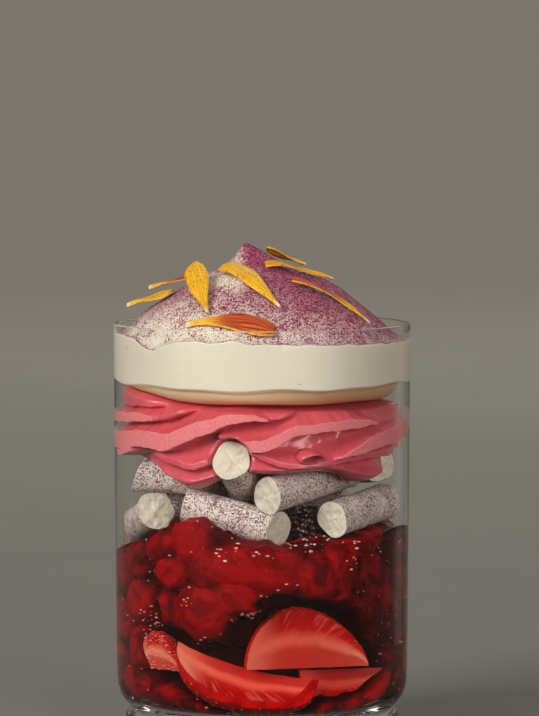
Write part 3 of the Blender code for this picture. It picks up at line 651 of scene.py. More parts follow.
def syrup_material():
    """Clear red syrup that takes green and blue out of the light that crosses it."""
    made, tree, shader = new_material(
        "strawberry_syrup", Base_Color=(1.0, 0.93, 0.92, 1.0), Roughness=0.0,
        Transmission_Weight=1.0, IOR=1.12,
    )
    out = tree.nodes["Material Output"]
    clear = place(tree, "ShaderNodeBsdfTransparent", {"Color": (1.0, 0.93, 0.92, 1.0)})
    shadow = place(tree, "ShaderNodeLightPath").outputs["Is Shadow Ray"]
    both = place(tree, "ShaderNodeMixShader", {0: shadow, 1: shader.outputs[0], 2: clear.outputs[0]})
    tree.links.new(both.outputs[0], out.inputs["Surface"])
    stain = place(tree, "ShaderNodeVolumeAbsorption", {"Color": (0.93, 0.08, 0.10, 1.0), "Density": 95.0})
    tree.links.new(stain.outputs[0], out.inputs["Volume"])
    return made


def bramble_material():
    """Black fruit whose drupelets each have a small painted highlight towards the upper left."""
    made, tree, shader = new_material(
        "bramble_black", Roughness=0.16, IOR=1.45, Coat_Weight=0.4, Coat_Roughness=0.08
    )
    where = object_place(tree)
    tint = remap(tree, spots(tree, 420.0, 2.0, 0.5, where), 0.4, 0.7)
    skin = mix(tree, tint, srgb(12, 3, 6), srgb(78, 12, 28))
    # Painted highlight: faces turned towards the key light are painted pale
    facing = place(tree, "ShaderNodeTexCoord").outputs["Normal"]
    lit = vector_calc(tree, "DOT_PRODUCT", {0: facing, 1: (-0.45, -0.76, 0.47)}, "Value")
    some = remap(tree, spots(tree, 420.0, 1.0, 0.5, where), 0.44, 0.60)
    painted_gleam = calc(tree, "MULTIPLY", remap(tree, lit, 0.935, 0.97), some)
    tree.links.new(mix(tree, painted_gleam, skin, srgb(214, 176, 164)), shader.inputs["Base Color"])
    return made


def petal_material():
    """Marigold: yellow with fine dark lines along it, flushed red by the petal's own share."""
    made, tree, shader = new_material("marigold_petal", Roughness=0.55)
    along, across, red = (mark_value(tree, name) for name in ("along", "across", "red"))
    where = object_place(tree)
    stripe_at = drawn_place(tree, calc(tree, "MULTIPLY", across, 7.0), calc(tree, "MULTIPLY", along, 2.2))
    stripes = spots(tree, 1.0, 3.0, 0.6, stripe_at)
    yellow = mix(tree, remap(tree, stripes, 0.35, 0.65), srgb(224, 152, 6), srgb(244, 196, 26))
    dash_at = drawn_place(tree, calc(tree, "MULTIPLY", across, 6.0), calc(tree, "MULTIPLY", along, 24.0))
    dashes = remap(tree, spots(tree, 1.0, 2.0, 0.6, dash_at), 0.56, 0.66)
    yellow = mix(tree, calc(tree, "MULTIPLY", dashes, 0.75), yellow, srgb(120, 66, 10))
    flush = mix(tree, remap(tree, stripes, 0.38, 0.62), srgb(140, 32, 8), srgb(212, 96, 20))
    spread = calc(tree, "ADD", along, calc(tree, "MULTIPLY", calc(tree, "SUBTRACT", stripes, 0.5), 0.7))
    rim = remap(tree, calc(tree, "ABSOLUTE", across), 1.0, 0.80)
    share = calc(tree, "MULTIPLY", remap(tree, spread, 0.26, 0.46), calc(tree, "MULTIPLY", red, rim))
    colour = mix(tree, share, yellow, flush)
    colour = mix(tree, remap(tree, along, 0.12, 0.02), colour, srgb(240, 214, 168))
    tree.links.new(colour, shader.inputs["Base Color"])
    grooves = calc(tree, "SINE", calc(tree, "MULTIPLY", across, 16.0))
    height = calc(tree, "ADD", calc(tree, "MULTIPLY", grooves, 0.4), spots(tree, 900.0, 2.0, 0.5, where))
    tree.links.new(relief(tree, height, 0.35, 0.0003), shader.inputs["Normal"])
    return made


def backdrop_material():
    """Pale grey plaster, a little lighter far from the middle to even out the light."""
    made, tree, shader = new_material("pale_backdrop", Roughness=0.9)
    where = object_place(tree)
    shift = vector_calc(tree, "ADD", {0: where, 1: (0.0, 0.6, 0.0)})
    away = vector_calc(tree, "LENGTH", {0: shift}, "Value")
    cloud = calc(tree, "MULTIPLY", calc(tree, "SUBTRACT", spots(tree, 2.6, 4.0, 0.6, where), 0.5), 0.5)
    share = remap(tree, calc(tree, "ADD", away, cloud), 0.4, 3.2)
    tree.links.new(mix(tree, share, srgb(124, 122, 117), srgb(194, 191, 182)), shader.inputs["Base Color"])
    return made


# Glass


def outer_radius(z):
    return HEEL_R + (RIM_R - HEEL_R) * (z - HEEL_Z) / (RIM_Z - HEEL_Z)


def inner_radius(z):
    z = np.asarray(z, float)
    drop = np.clip(HEEL_TOP_Z - z, 0.0, INNER_HEEL)
    bend = INNER_HEEL - np.sqrt(INNER_HEEL**2 - drop**2)
    return outer_radius(np.maximum(z, HEEL_TOP_Z)) - WALL - bend


def heel_heights(first_deg, last_deg, count):
    """Heights along the inner heel: 0 degrees at its top, 90 on the floor."""
    turns = np.linspace(first_deg, last_deg, count)
    return [HEEL_TOP_Z - INNER_HEEL * math.sin(math.radians(turn)) for turn in turns]


def rounded(profile, radii):
    """A profile whose corners are rounded, each by its own radius."""
    steps = 6
    points = [Vector(profile[0])]
    for k in range(1, len(profile) - 1):
        before, corner, after = (Vector(profile[k + step]) for step in (-1, 0, 1))
        one, two = (before - corner).normalized(), (after - corner).normalized()
        reach = min(radii[k], 0.49 * (before - corner).length, 0.49 * (after - corner).length)
        if reach < 0.02:
            points.append(corner)
            continue
        start, end = corner + one * reach, corner + two * reach
        for step in range(steps + 1):
            t = step / steps
            points.append(start * (1 - t) ** 2 + corner * 2 * t * (1 - t) + end * t**2)
    points.append(Vector(profile[-1]))
    return points


def glass_profile():
    """The tumbler's section from under the foot, over the rim, down to the inner floor. Each
    corner has its radius, height and rounding."""
    corners = [
        (0.4, PUNT_H, 0.0), (14.0, PUNT_H - 0.6, 5.0), (26.0, 2.2, 4.0), (31.2, 0.0, 2.0),
        (FOOT_R - 0.4, 0.0, 1.6), (FOOT_R, FOOT_H - 0.2, 1.4), (FOOT_R - 2.0, FOOT_H + 1.4, 1.4),
        (37.6, 11.8, 2.0), (39.0, 15.0, 2.6), (HEEL_R, HEEL_Z + 2.0, 4.0),
        (RIM_R, RIM_Z - 0.1, 0.8), (RIM_R - 0.8, RIM_Z + 0.05, 0.8), (RIM_R - WALL, RIM_Z - 0.1, 0.8),
        (float(inner_radius(60.0)), 60.0, 0.0),
    ]
    outside = rounded([c[:2] for c in corners], [c[2] for c in corners])
    inside = [(float(inner_radius(z)), z) for z in heel_heights(0.0, 90.0, 13)]
    inside += [(20.0, FLOOR_Z), (8.0, FLOOR_Z), (0.4, FLOOR_Z)]
    return [tuple(p) for p in outside] + inside


def make_glass(finish):
    azimuths = ring_azimuths(256)
    rings = [on_ring(r, azimuths, z) for r, z in glass_profile()]
    body = closed_body("glass_tumbler", rings, (0, 0, PUNT_H), (0, 0, FLOOR_Z), finish)
    body.visible_shadow = False
    dress(body, "glass", "glass")


# White cream


def dome_height(x, y):
    """Height of the cream's top above the glass's foot."""
    radius = np.hypot(x, y)
    share = np.minimum(1.0, radius / DOME_R)
    side = x / np.maximum(radius, 0.001)
    edge = CONTACT_Z - 1.0 * side * share
    z = edge + DOME_RISE * (1.0 - share**DOME_POWER)
    turn = np.arctan2(x, -y)
    wave = np.sin(3.0 * turn + 0.16 * radius) + 0.6 * np.sin(5.0 * turn - 0.1 * radius)
    z = z + 0.45 * wave * np.sin(np.pi * share)
    off_x, off_y = x - TIP_X, y - TIP_Y
    reach_x = np.where(off_x < 0.0, 3.3, 6.4)
    return z + TIP_H * np.exp(-(np.hypot(off_x / reach_x, off_y / 4.2) ** 1.6))


def leaves_glass(azimuth):
    wave = 0.25 * np.sin(7.0 * azimuth + 0.8) + 0.2 * np.sin(12.0 * azimuth)
    return CREAM_LEAVES_GLASS_Z + 0.5 * np.sin(azimuth) ** 2 + wave


def contact_height(azimuth):
    """Where the dusted top meets the glass, with the lobe that dips at the left."""
    z = CONTACT_Z - 0.3 - 1.0 * np.sin(azimuth)
    z = z - 3.0 * bump(azimuth, -49.0, 9.5) + 0.7 * bump(azimuth, -11.0, 3.0)
    return z + 0.12 * np.sin(23.0 * azimuth) + 0.1 * np.sin(41.0 * azimuth + 1.0)


def cream_low(azimuth, radius):
    """Height of the cream's underside: a round shoulder, hollowed at the left by the ice cream."""
    rise = leaves_glass(azimuth) - CREAM_UNDERSIDE_Z
    out = np.clip((radius - 33.0) / 3.9, 0.0, 1.0)
    full = rise * (1.0 - np.sqrt(1.0 - out**2))
    thin = 0.86 * rise * np.clip((radius - 8.0) / 28.9, 0.0, 1.0) ** 5
    left = bump(azimuth, -80.0, 34.0)
    return CREAM_UNDERSIDE_Z + full * (1.0 - left) + thin * left


def make_cream(finish):
    a = ring_azimuths(320)
    underside = (8.0, 16.0, 24.0, 29.0, 31.5, 33.0, 34.0, 34.8, 35.5, 36.0, 36.4, 36.7, 36.86)
    up_the_wall = (0.0, 0.02, 0.05, 0.15, 0.4, 0.7, 0.9, 0.97, 1.0)
    # The last list marks the underside, whose colour paints its shade and the warm light bounced up to it
    rings, dust_and_highlight, painted_flank = [], [], []
    for radius in underside:
        rings.append(on_ring(radius, a, cream_low(a, radius) + 0.12 * np.sin(7.0 * a + radius)))
        dust_and_highlight.append(0.0 * a)
        painted_flank.append(0.0 * a + 1.0)
    for share in up_the_wall:
        low, high = leaves_glass(a), contact_height(a)
        z = low + share * (high - low)
        rings.append(on_ring(inner_radius(z) + INTO_WALL, a, z))
        dust_and_highlight.append(0.0 * a)
        painted_flank.append(0.0 * a + 0.5 * (share < 0.01))
    edge_r = inner_radius(contact_height(a)) + INTO_WALL
    for t in np.linspace(0.004, 1.0, 112):
        lean = smoothstep(0.35, 1.0, t)
        radius = edge_r * (1.0 - t) + 0.25 * t
        x = radius * np.sin(a) + TIP_X * lean
        y = -radius * np.cos(a) + TIP_Y * lean
        z = dome_height(x, y)
        settle = smoothstep(0.16, 0.0, t) ** 1.3
        z = z * (1.0 - settle) + settle * (contact_height(a) + 0.1 * t)
        points = np.stack([x, y, z], -1)
        z = z + 0.25 * lumps(points, 7.0, 2.0) * smoothstep(0.0, 0.1, t)
        z = z + 0.07 * lumps(points, 2.2, 3.0) * smoothstep(0.0, 0.1, t)
        rings.append(np.stack([x, y, z], -1))
        high = smoothstep(108.0, 127.0, z)
        right = smoothstep(-26.0, 24.0, x + 0.25 * y)
        edge = 0.45 * smoothstep(0.035, 0.0, t)
        behind = smoothstep(-15.0, 2.0, y)
        # Painted highlight: the tip's left face, towards the light, gets less powder so that it shows
        # whiter
        bare_painted_highlight = 0.6 * smoothstep(121.0, 126.0, z) * smoothstep(-2.5, -6.5, x)
        dust_and_highlight.append(0.40 + 0.45 * high + 0.42 * right + 0.4 * behind + edge - bare_painted_highlight)
        painted_flank.append(0.0 * a)
    top = (TIP_X, TIP_Y, float(dome_height(TIP_X, TIP_Y)))
    low = (0.0, 0.0, CREAM_UNDERSIDE_Z)
    body = closed_body("whipped_cream", rings, low, top, finish, {"dust_and_highlight": dust_and_highlight, "painted_flank": painted_flank})
    dress(body, "white_cream", "white_cream")


# Pink ice cream


def flowing(stations):
    """Azimuths half a degree apart, and the smoothed height and half-height at each."""
    at = np.array([s[0] for s in stations], float)
    fine = np.arange(at[0], at[-1] + 0.25, 0.5)
    window = np.hanning(17)[1:-1]
    curves = []
    for k in (1, 2):
        values = np.interp(fine, at, [s[k] for s in stations])
        padded = np.pad(values, 7, mode="reflect", reflect_type="odd")
        curves.append(np.convolve(padded, window / window.sum(), mode="valid"))
    return fine, curves[0], np.maximum(curves[1], 0.15)


def ruffle_push(azimuth, z):
    """How far the ruffles push out at each azimuth and height, from 0 to 1."""
    push = np.zeros_like(z)
    turn = np.degrees(azimuth)
    for reach, stations in RUFFLES:
        fine, line, half = flowing(stations)
        first, last = fine[0], fine[-1]
        along = first + (turn - first) % 360.0
        inside = along <= last
        line, half = np.interp(along, fine, line), np.interp(along, fine, half)
        line = line + 0.12 * np.sin(0.55 * turn) + 0.07 * np.sin(1.3 * turn + 2.0)
        soft = 4.0 if reach == 1.0 else 14.0
        fade = smoothstep(first - 0.01, first + soft, along) * smoothstep(last + 0.01, last - soft, along)
        slope = smoothstep(first - 0.01, first + 14.0, along) * smoothstep(last + 0.01, last - 14.0, along)
        above = (z - line - 0.75 * half) / 3.4
        below = (line - z - 0.9 * half) / 0.5
        steep = 1.6 + 2.4 * (1.0 - slope)
        shape = np.exp(-steep * np.maximum(above, 0.0) ** 1.25) * smoothstep(1.0, 0.0, below)
        push = np.maximum(push, np.where(inside, reach * shape * fade**0.6, 0.0))
    return push


def pink_low(azimuth):
    z = PINK_UNDERSIDE_Z
    for centre, width, drop in HANGING_LOBES:
        z = z - drop * bump(azimuth, centre, width)
    return z


def make_pink(finish):
    columns, rows = 640, 120
    a = ring_azimuths(columns)
    rings, press = [], []
    for radius in (8.0, 18.0, 24.0):
        rings.append(on_ring(radius, a, PINK_UNDERSIDE_Z + 0.0 * a))
        press.append(0.0 * a)
    share = np.linspace(0.0, 1.0, rows)[:, None]
    low = pink_low(a)[None, :]
    high = 93.0 + 3.8 * bump(a, -80.0, 40.0)[None, :]
    z = low + share * (high - low)
    turn = np.broadcast_to(a, z.shape)
    push = ruffle_push(turn, z)
    # The end of the leaning stick shows in front, so the folds keep clear of it
    stick_end = on_ring(37.8, math.radians(-13.5), 79.0)
    from_stick = np.linalg.norm(on_ring(37.8, turn, z) - stick_end, axis=-1)
    push = push * smoothstep(4.9, 6.6, from_stick)
    soft = lumps(on_ring(30.0 + 8.0 * push, turn, z), 5.0, 4.0)
    depth = FOLD_DEPTH * (1.0 - push) + 0.5 * soft * (1.0 - push) ** 0.5
    depth = depth + 4.5 * np.clip(1.0 - share / 0.10, 0.0, 1.0) ** 2
    depth = depth + (6.0 - 5.0 * bump(a, -80.0, 40.0)[None, :]) * smoothstep(0.90, 1.0, share)
    depth = np.maximum(depth, 0.0)
    radius = inner_radius(z) + INTO_WALL - depth
    z = np.where(share > 0.8, np.minimum(z, cream_low(turn, radius) - 0.1), z)
    rings += list(on_ring(radius, turn, z))
    press += list(np.clip(1.0 - depth / 1.2, 0.0, 1.0))
    rings.append(on_ring(20.0, a, PINK_TOP_Z + 0.0 * a))
    press.append(0.0 * a)
    body = closed_body(
        "ruffled_ice_cream", rings, (0, 0, PINK_UNDERSIDE_Z), (0, 0, PINK_TOP_Z), finish, {"press": press}
    )
    dress(body, "pink_ice_cream", "pink_ice_cream")
    dress(make_curl(finish), "pink_ice_cream", "pink_ice_cream")


def make_curl(finish):
    """A little rolled lip of ice cream that stands out of the folds at the front."""
    root, tip = np.array((10.2, -30.6, 80.6)), np.array((13.2, -35.2, 79.0))
    axis = (tip - root) / np.linalg.norm(tip - root)
    side = np.cross(axis, (0.0, 0.0, 1.0))
    side = side / np.linalg.norm(side)
    up = np.cross(side, axis)
    turn = ring_azimuths(36)
    rings = []
    outline = [(0.0, 1.6), (0.25, 2.5), (0.5, 2.9), (0.75, 3.0), (0.93, 2.9), (1.0, 2.55), (0.98, 2.1),
               (0.85, 1.8), (0.6, 1.7), (0.3, 1.3)]
    for t, radius in outline:
        across = radius * (1.0 + 0.25 * t) * np.cos(turn)
        rise = radius * 0.62 * np.sin(turn) * (1.0 + 0.25 * np.sin(turn))
        lean = 1.3 * t * np.maximum(0.0, np.sin(turn))
        point = root + t * (tip - root)
        rings.append(point + np.outer(across, side) + np.outer(rise, up) + np.outer(lean, axis))
    rings = np.array(rings)
    low, high = rings[0].mean(axis=0), rings[-1].mean(axis=0)
    marks = {"press": [0.0 * turn] * len(rings)}
    return closed_body("ice_cream_curl", rings[:, ::-1], low, high, finish, marks)


# Meringue sticks


def make_stick(name, spec, seed, finish):
    start, end = Vector(spec[0]), Vector(spec[1])
    aside, upward = (math.tan(math.radians(value)) for value in spec[2:])
    axis = (end - start).normalized()
    length = (end - start).length
    side = axis.cross(Vector((0, 0, 1))).normalized()
    up = side.cross(axis)
    turn = ring_azimuths(56)
    wave = 1.0 + 0.012 * np.sin(2.0 * turn + seed) + 0.01 * np.sin(3.0 * turn + 2.0 * seed)
    across, rise = np.cos(turn) * wave, np.sin(turn) * wave
    stations = []
    cap = [0.12, 0.3, 0.46, 0.6, 0.72, 0.82, 0.9, 0.955, 0.985]
    stations += [(0.0, share, 1.0) for share in cap] + [(0.02, 0.995, 0.5)]
    stations += [(0.35 + (length - 0.7) * t, 1.0, 0.0) for t in np.linspace(0.0, 1.0, 34)]
    stations += [(length - 0.02, 0.995, 0.5)] + [(length, share, 1.0) for share in reversed(cap)]
    rings, cut = [], []
    for reach, share, is_cut in stations:
        fade = max(0.0, 1.0 - reach / 9.0)
        shift = reach + (aside * across + upward * rise) * STICK_R * share * fade
        from_end = min(reach, length - reach)
        ragged = 0.05 * np.sin(2.0 * turn + 3.0 * seed) + 0.04 * np.sin(3.0 * turn + seed)
        ragged = ragged + 0.025 * np.sin(5.0 * turn + 2.0 * seed) + 0.03
        share = share * (1.0 + ragged * math.exp(-from_end / 1.5))
        ring = np.array([start + axis * float(s) for s in shift])
        ring = ring + STICK_R * (np.outer(share * across, side) + np.outer(share * rise, up))
        if is_cut == 1.0:
            dents = lumps(ring, 2.3, seed) + 0.6 * lumps(ring, 1.0, seed + 1.0)
            inward = 0.62 * np.clip(dents + 0.1, -0.3, 1.1) * np.clip(3.0 * (1.0 - share) + 0.2, 0.0, 1.0)
            way = 1.0 if reach < length / 2.0 else -1.0
            ring = ring + np.outer(inward * way, axis)
        elif is_cut == 0.0:
            rough = 0.09 * lumps(ring, 2.6, seed + 2.0) + 0.04 * lumps(ring, 0.9, seed + 3.0)
            ring = ring + rough[:, None] * (np.outer(across, side) + np.outer(rise, up))
        rings.append(ring)
        cut.append(np.full(len(turn), is_cut))
    rings = np.array(rings)
    low, high = rings[0].mean(axis=0), rings[-1].mean(axis=0)
    piece = closed_body("stick_" + name, rings[:, ::-1], low, high, finish, {"cut": cut})
    dress(piece, "meringue", "meringue_" + name)


# Strawberries


def berry_outline(share, bluntness):
    """Radius of a strawberry from its hull at 0 to its tip at 1; a low bluntness is blunt."""
    return math.sin(math.pi * share**0.78) ** bluntness


def make_strawberry(name, finish):
    length, radius, first, last, middle, yaw, pitch, sag = STRAWBERRIES[name]
    sections = 64
    faces_in = np.linspace(0.0, 1.0, 15)[1:]
    arc = np.linspace(0.0, 1.0, 34)
    turn = Matrix.Rotation(math.radians(yaw), 3, "Z") @ Matrix.Rotation(math.radians(pitch), 3, "Y")
    turn = np.array(turn)
    rings, reach_mark, along_mark, skin_mark, peel_mark = [], [], [], [], []
    wraps = name == WRAPPED_STRAWBERRY
    face_end = 0.8 if wraps else 1.0
    for k in range(1, sections):
        share = 0.5 - 0.5 * math.cos(math.pi * k / sections)
        bluntness = 0.47 - 0.27 * float(smoothstep(0.4, 1.0, np.float64(share))) if wraps else 0.6
        reach = radius * berry_outline(share, bluntness)
        core = np.array([(share - 0.5) * length, 0.0, -4.0 * sag * share * (1.0 - share)])
        turns = [np.full(14, first), first + (last - first) * arc[1:-1], np.full(14, last)]
        turns = np.radians(np.concatenate([[first], *turns]))
        shares = np.concatenate([[0.0], faces_in, np.ones(32), faces_in[::-1]])
        soft = 1.0 - 0.05 * np.exp(-(((turns - turns[1]) / 0.08) ** 2)) * (shares > 0.99)
        fan = np.stack([0.0 * turns, np.sin(turns), np.cos(turns)], -1) * (reach * shares * soft)[:, None]
        ring = (core + fan) @ turn.T + np.array(middle)
        rings.append(ring)
        reach_mark.append(shares / face_end)
        limit = face_end - 0.95 * float(smoothstep(0.84, 1.0, np.float64(share)))
        peel_mark.append(shares - limit if wraps else 0.0 * shares - 1.0)
        along_mark.append(np.full(len(shares), share))
        skin_mark.append(((shares > 0.99) & (turns > turns[1] + 0.02) & (turns < turns[-1] - 0.02)) * 1.0)
    rings = np.array(rings)
    rough = lumps(rings, 3.0, 5.0) * 0.16 + lumps(rings, 1.1, 6.0) * 0.05
    centre = rings.mean(axis=1, keepdims=True)
    out = rings - centre
    rings = rings + out / np.maximum(np.linalg.norm(out, axis=-1, keepdims=True), 0.5) * rough[..., None]
    ends = [np.array([side * length / 2.0, 0.0, 0.0]) @ turn.T + np.array(middle) for side in (-1, 1)]
    marks = {"reach": reach_mark, "along": along_mark, "skin": skin_mark, "peel": peel_mark}
    piece = closed_body("cut_strawberry_" + name, rings, ends[0], ends[1], finish, marks)
    piece.data.set_sharp_from_angle(angle=math.radians(55.0))
    return piece


# Compote


def compote_edge(azimuth):
    z = COMPOTE_TOP_Z + 0.0 * azimuth
    for centre, width, height in COMPOTE_CRESTS:
        z = z + height * bump(azimuth, centre, width)
    return z


def make_syrup(finish):
    """A drum of clear syrup that fills the glass nearly up to the compote's edge."""
    a = ring_azimuths(192)
    floor_z = FLOOR_Z - INTO_WALL
    rings = [on_ring(radius, a, floor_z + 0.0 * a) for radius in (8.0, 20.0, 28.0)]
    for z in heel_heights(80.0, 0.0, 9):
        rings.append(on_ring(inner_radius(z) + INTO_WALL, a, z + 0.0 * a))
    edge = compote_edge(a) - SYRUP_DIP
    for t in np.linspace(0.05, 1.0, 24):
        z = HEEL_TOP_Z + t * (edge - HEEL_TOP_Z)
        rings.append(on_ring(inner_radius(z) + INTO_WALL, a, z))
    middle_z = COMPOTE_TOP_Z - SYRUP_DIP - 2.2
    for t in np.linspace(0.03, 1.0, 18):
        sunk = smoothstep(0.0, 0.25, t)
        points = on_ring(inner_radius(60.0) * (1.0 - t) + 0.5 * t, a, middle_z * sunk + edge * (1.0 - sunk))
        points[:, 2] += 0.8 * lumps(points, 8.0, 8.0) * smoothstep(0.0, 0.3, t)
        rings.append(points)
    low, high = (0, 0, floor_z), rings[-1].mean(axis=0)
    body = closed_body("strawberry_syrup", rings, low, high, finish)
    dress(body, "strawberry_compote", "strawberry_compote")


def apart(turn, z, spec):
    """Distance of each point of the side from an ellipse's middle, 1 on its outline."""
    centre, height, across, up, tilt = spec[:5]
    aside = np.radians((turn - centre + 180.0) % 360.0 - 180.0) * SIDE_R
    above = z - height
    c, d = math.cos(math.radians(tilt)), math.sin(math.radians(tilt))
    return np.hypot((aside * c + above * d) / across, (above * c - aside * d) / up)


def heap_berries():
    """All berries pressed on the glass: the front ones listed, the others strewn."""
    draw = random.Random(11)
    berries = list(PRESSED_BERRIES)
    for row in range(5):
        for k in range(11):
            centre = 98.0 + 164.0 * (k + 0.5 * (row % 2)) / 11.0 + draw.uniform(-3.0, 3.0)
            z = 16.0 + 9.8 * row + draw.uniform(-1.5, 1.5)
            across, up = draw.uniform(6.4, 8.6), draw.uniform(5.4, 7.0)
            berries.append((centre, z, across, up, draw.uniform(-30, 30), draw.uniform(0.25, 0.9)))
    return berries


def heap_depth(azimuth, z):
    """Depth behind the glass and brightness of the heap at each point of the side."""
    points = on_ring(SIDE_R, azimuth, z)
    turn = np.degrees(azimuth) + 2.0 * lumps(points, 7.0, 21.0) + 0.3 * lumps(points, 2.4, 22.0)
    z = z + 1.4 * lumps(points, 7.0, 23.0) + 0.2 * lumps(points, 2.4, 24.0)
    near = np.full(z.shape, 9.0)
    tone = np.zeros(z.shape)
    for spec in heap_berries():
        q = apart(turn, z, spec)
        closer = q < near
        near = np.where(closer, q, near)
        tone = np.where(closer, spec[5], tone)
    side = np.clip((near - 0.52) / 0.48, 0.0, 1.3)
    depth = 0.05 + 2.6 * side**1.7
    for spec in HOLLOWS:
        share = smoothstep(1.2, 0.86, apart(turn, z, spec))
        depth = depth + share * np.maximum(0.0, spec[5] - depth)
    depth = depth + 0.16 * lumps(points, 1.6, 25.0) * np.clip(depth, 0.0, 1.0)
    return np.maximum(depth, 0.04), tone


def make_heap(finish):
    """The heap of soft berries: a drum that is pressed into berries where it meets the glass."""
    a = ring_azimuths(420)
    floor_z = FLOOR_Z + 0.3
    edge = compote_edge(a) + 0.35 * np.sin(23.0 * a + 1.0) + 0.3 * np.sin(37.0 * a) - 0.2
    heights = [np.full(a.shape, floor_z + 0.2 + h) for h in (0.0, 0.8, 2.0, 3.4, 4.8)]
    heights += [HEEL_TOP_Z + t * (edge - HEEL_TOP_Z) for t in np.linspace(0.0, 1.0, 130)]
    rings = [on_ring(radius, a, floor_z + 0.0 * a) for radius in (8.0, 18.0)]
    tones = [0.0 * a, 0.0 * a]
    depths = [0.0 * a + 9.0, 0.0 * a + 9.0]
    turn = np.broadcast_to(a, (len(heights), len(a)))
    z = np.array(heights)
    depth, tone = heap_depth(turn, z)
    shoulder = 3.0 * smoothstep(1.6, 0.0, edge - z) ** 2
    rings += list(on_ring(inner_radius(z) + 0.02 - depth - shoulder, turn, z))
    tones += list(tone)
    depths += list(depth)
    rim_r = np.hypot(rings[-1][:, 0], rings[-1][:, 1])
    for t in np.linspace(0.03, 1.0, 30):
        radius = rim_r * (1.0 - t) + 0.5 * t
        z = edge + 0.2 + (56.0 - edge) * smoothstep(0.0, 0.3, t)
        points = on_ring(radius, a, z)
        bumps = 1.5 * lumps(points, 7.0, 31.0) + 0.5 * lumps(points, 2.6, 32.0)
        points[:, 2] += bumps * smoothstep(0.0, 0.12, t)
        rings.append(points)
        tones.append(0.0 * a + 0.5)
        depths.append(0.0 * a + 1.5)
    places = np.array(rings)
    turns, heights = np.arctan2(places[..., 0], -places[..., 1]), places[..., 2]
    glint = np.zeros(turns.shape)
    for spec in GLINTS:
        glint = np.maximum(glint, spec[5] * smoothstep(1.15, 0.7, apart(np.degrees(turns), heights, spec)))
    # Painted glints also run thinly along the edges of the creases
    crease = 0.06 * smoothstep(0.7, 1.6, np.array(depths))
    glint = np.where(np.array(depths) < 6.0, np.maximum(glint, crease), 0.0)
    marks = {"tone": tones, "depth": depths, "glint": glint}
    return closed_body("berry_heap", rings, (0, 0, floor_z), rings[-1].mean(axis=0), finish, marks)


# Pieces that repeat, strewn by geometry nodes


def strewing_tree(name, finish, shape):
    """A tree that strews copies of a small shape over a mesh and leaves the mesh out."""
    tree = bpy.data.node_groups.new(name, "GeometryNodeTree")
    start, end = add_sockets(
        tree,
        [("Geometry", "Geometry"), ("Spacing", "Float"), ("Size", "Float"), ("Uneven", "Float"),
         ("Stretch", "Vector"), ("Seed", "Int"), ("Where", "Float")],
        [("Geometry", "Geometry")],
    )
    take = start.outputs
    scatter = place(
        tree, "GeometryNodeDistributePointsOnFaces",
        {"Mesh": take["Geometry"], "Distance Min": take["Spacing"], "Density Max": MOST_STREWN,
         "Seed": take["Seed"], "Density Factor": take["Where"]},
        distribute_method="POISSON",
    )
    if shape == "round":
        seed_shape = place(tree, "GeometryNodeMeshUVSphere", {"Segments": 12, "Rings": 8, "Radius": 1.0})
    else:
        seed_shape = place(tree, "GeometryNodeMeshIcoSphere", {"Radius": 1.0, "Subdivisions": 1})
    low = calc(tree, "SUBTRACT", 1.0, take["Uneven"])
    high = calc(tree, "ADD", 1.0, take["Uneven"])
    limits = {"Min": low, "Max": high, "Seed": take["Seed"]}
    vary = place(tree, "FunctionNodeRandomValue", limits, data_type="FLOAT")
    size = calc(tree, "MULTIPLY", next(o for o in vary.outputs if o.enabled), take["Size"])
    scale = vector_calc(tree, "SCALE", {0: take["Stretch"], "Scale": size})
    put = place(
        tree, "GeometryNodeInstanceOnPoints",
        {"Points": scatter.outputs["Points"], "Instance": seed_shape.outputs["Mesh"],
         "Rotation": scatter.outputs["Rotation"], "Scale": scale},
    )
    real = place(tree, "GeometryNodeRealizeInstances", {"Geometry": put.outputs["Instances"]})
    soft = place(tree, "GeometryNodeSetShadeSmooth", {"Geometry": real.outputs["Geometry"]})
    worn = place(tree, "GeometryNodeSetMaterial", {"Geometry": soft.outputs[0], "Material": finish})
    tree.links.new(worn.outputs["Geometry"], end.inputs["Geometry"])
    return tree


def strew(name, base, tree, where=None, **values):
    """A plain mesh of the copies that a tree strews over a base object."""
    holder = bpy.data.objects.new(name, base.data.copy())
    bpy.context.scene.collection.objects.link(holder)
    step = holder.modifiers.new("strew", "NODES")
    step.node_group = tree
    keys = {item.name: item.identifier for item in tree.interface.items_tree if item.in_out == "INPUT"}
    for key, value in values.items():
        step[keys[key]] = value
    if where is None:
        step[keys["Where"]] = 1.0
    else:
        step[keys["Where"] + "_use_attribute"] = True
        step[keys["Where"] + "_attribute_name"] = where
    bpy.context.view_layer.update()
    graph = bpy.context.evaluated_depsgraph_get()
    mesh = bpy.data.meshes.new_from_object(holder.evaluated_get(graph))
    holder.modifiers.clear()
    holder.data = mesh
    mesh.name = name
    return holder


def make_bramble(finish, tree):
    a = ring_azimuths(28)
    polar = np.pi * np.arange(1, 18) / 18.0
    radius, tall = BRAMBLE_R - 0.75, 1.08 * (BRAMBLE_R - 0.75)
    middle = np.array(BRAMBLE_AT)
    rings = [middle + on_ring(radius * math.sin(p), a, -tall * math.cos(p)) for p in polar]
    low, high = (middle + np.array([0, 0, side * tall]) for side in (-1, 1))
    base = closed_body("bramble_heart", rings, low, high, finish)
    fruit = strew(
        "bramble_drupelets", base, tree, Spacing=1.55 * MM, Size=1.12 * MM, Uneven=0.12,
        Stretch=(1.0, 1.0, 0.9), Seed=4,
    )
    dress(base, "bramble", "bramble")
    dress(fruit, "bramble", "bramble")


# Petals


def petal_half_width(share, width):
    swell = 0.16 + 0.84 * smoothstep(0.0, 0.66, share)
    blunt = np.sqrt(np.maximum(0.0, 1.0 - np.maximum(0.0, (share - 0.78) / 0.24) ** 2))
    return 0.5 * width * swell * blunt


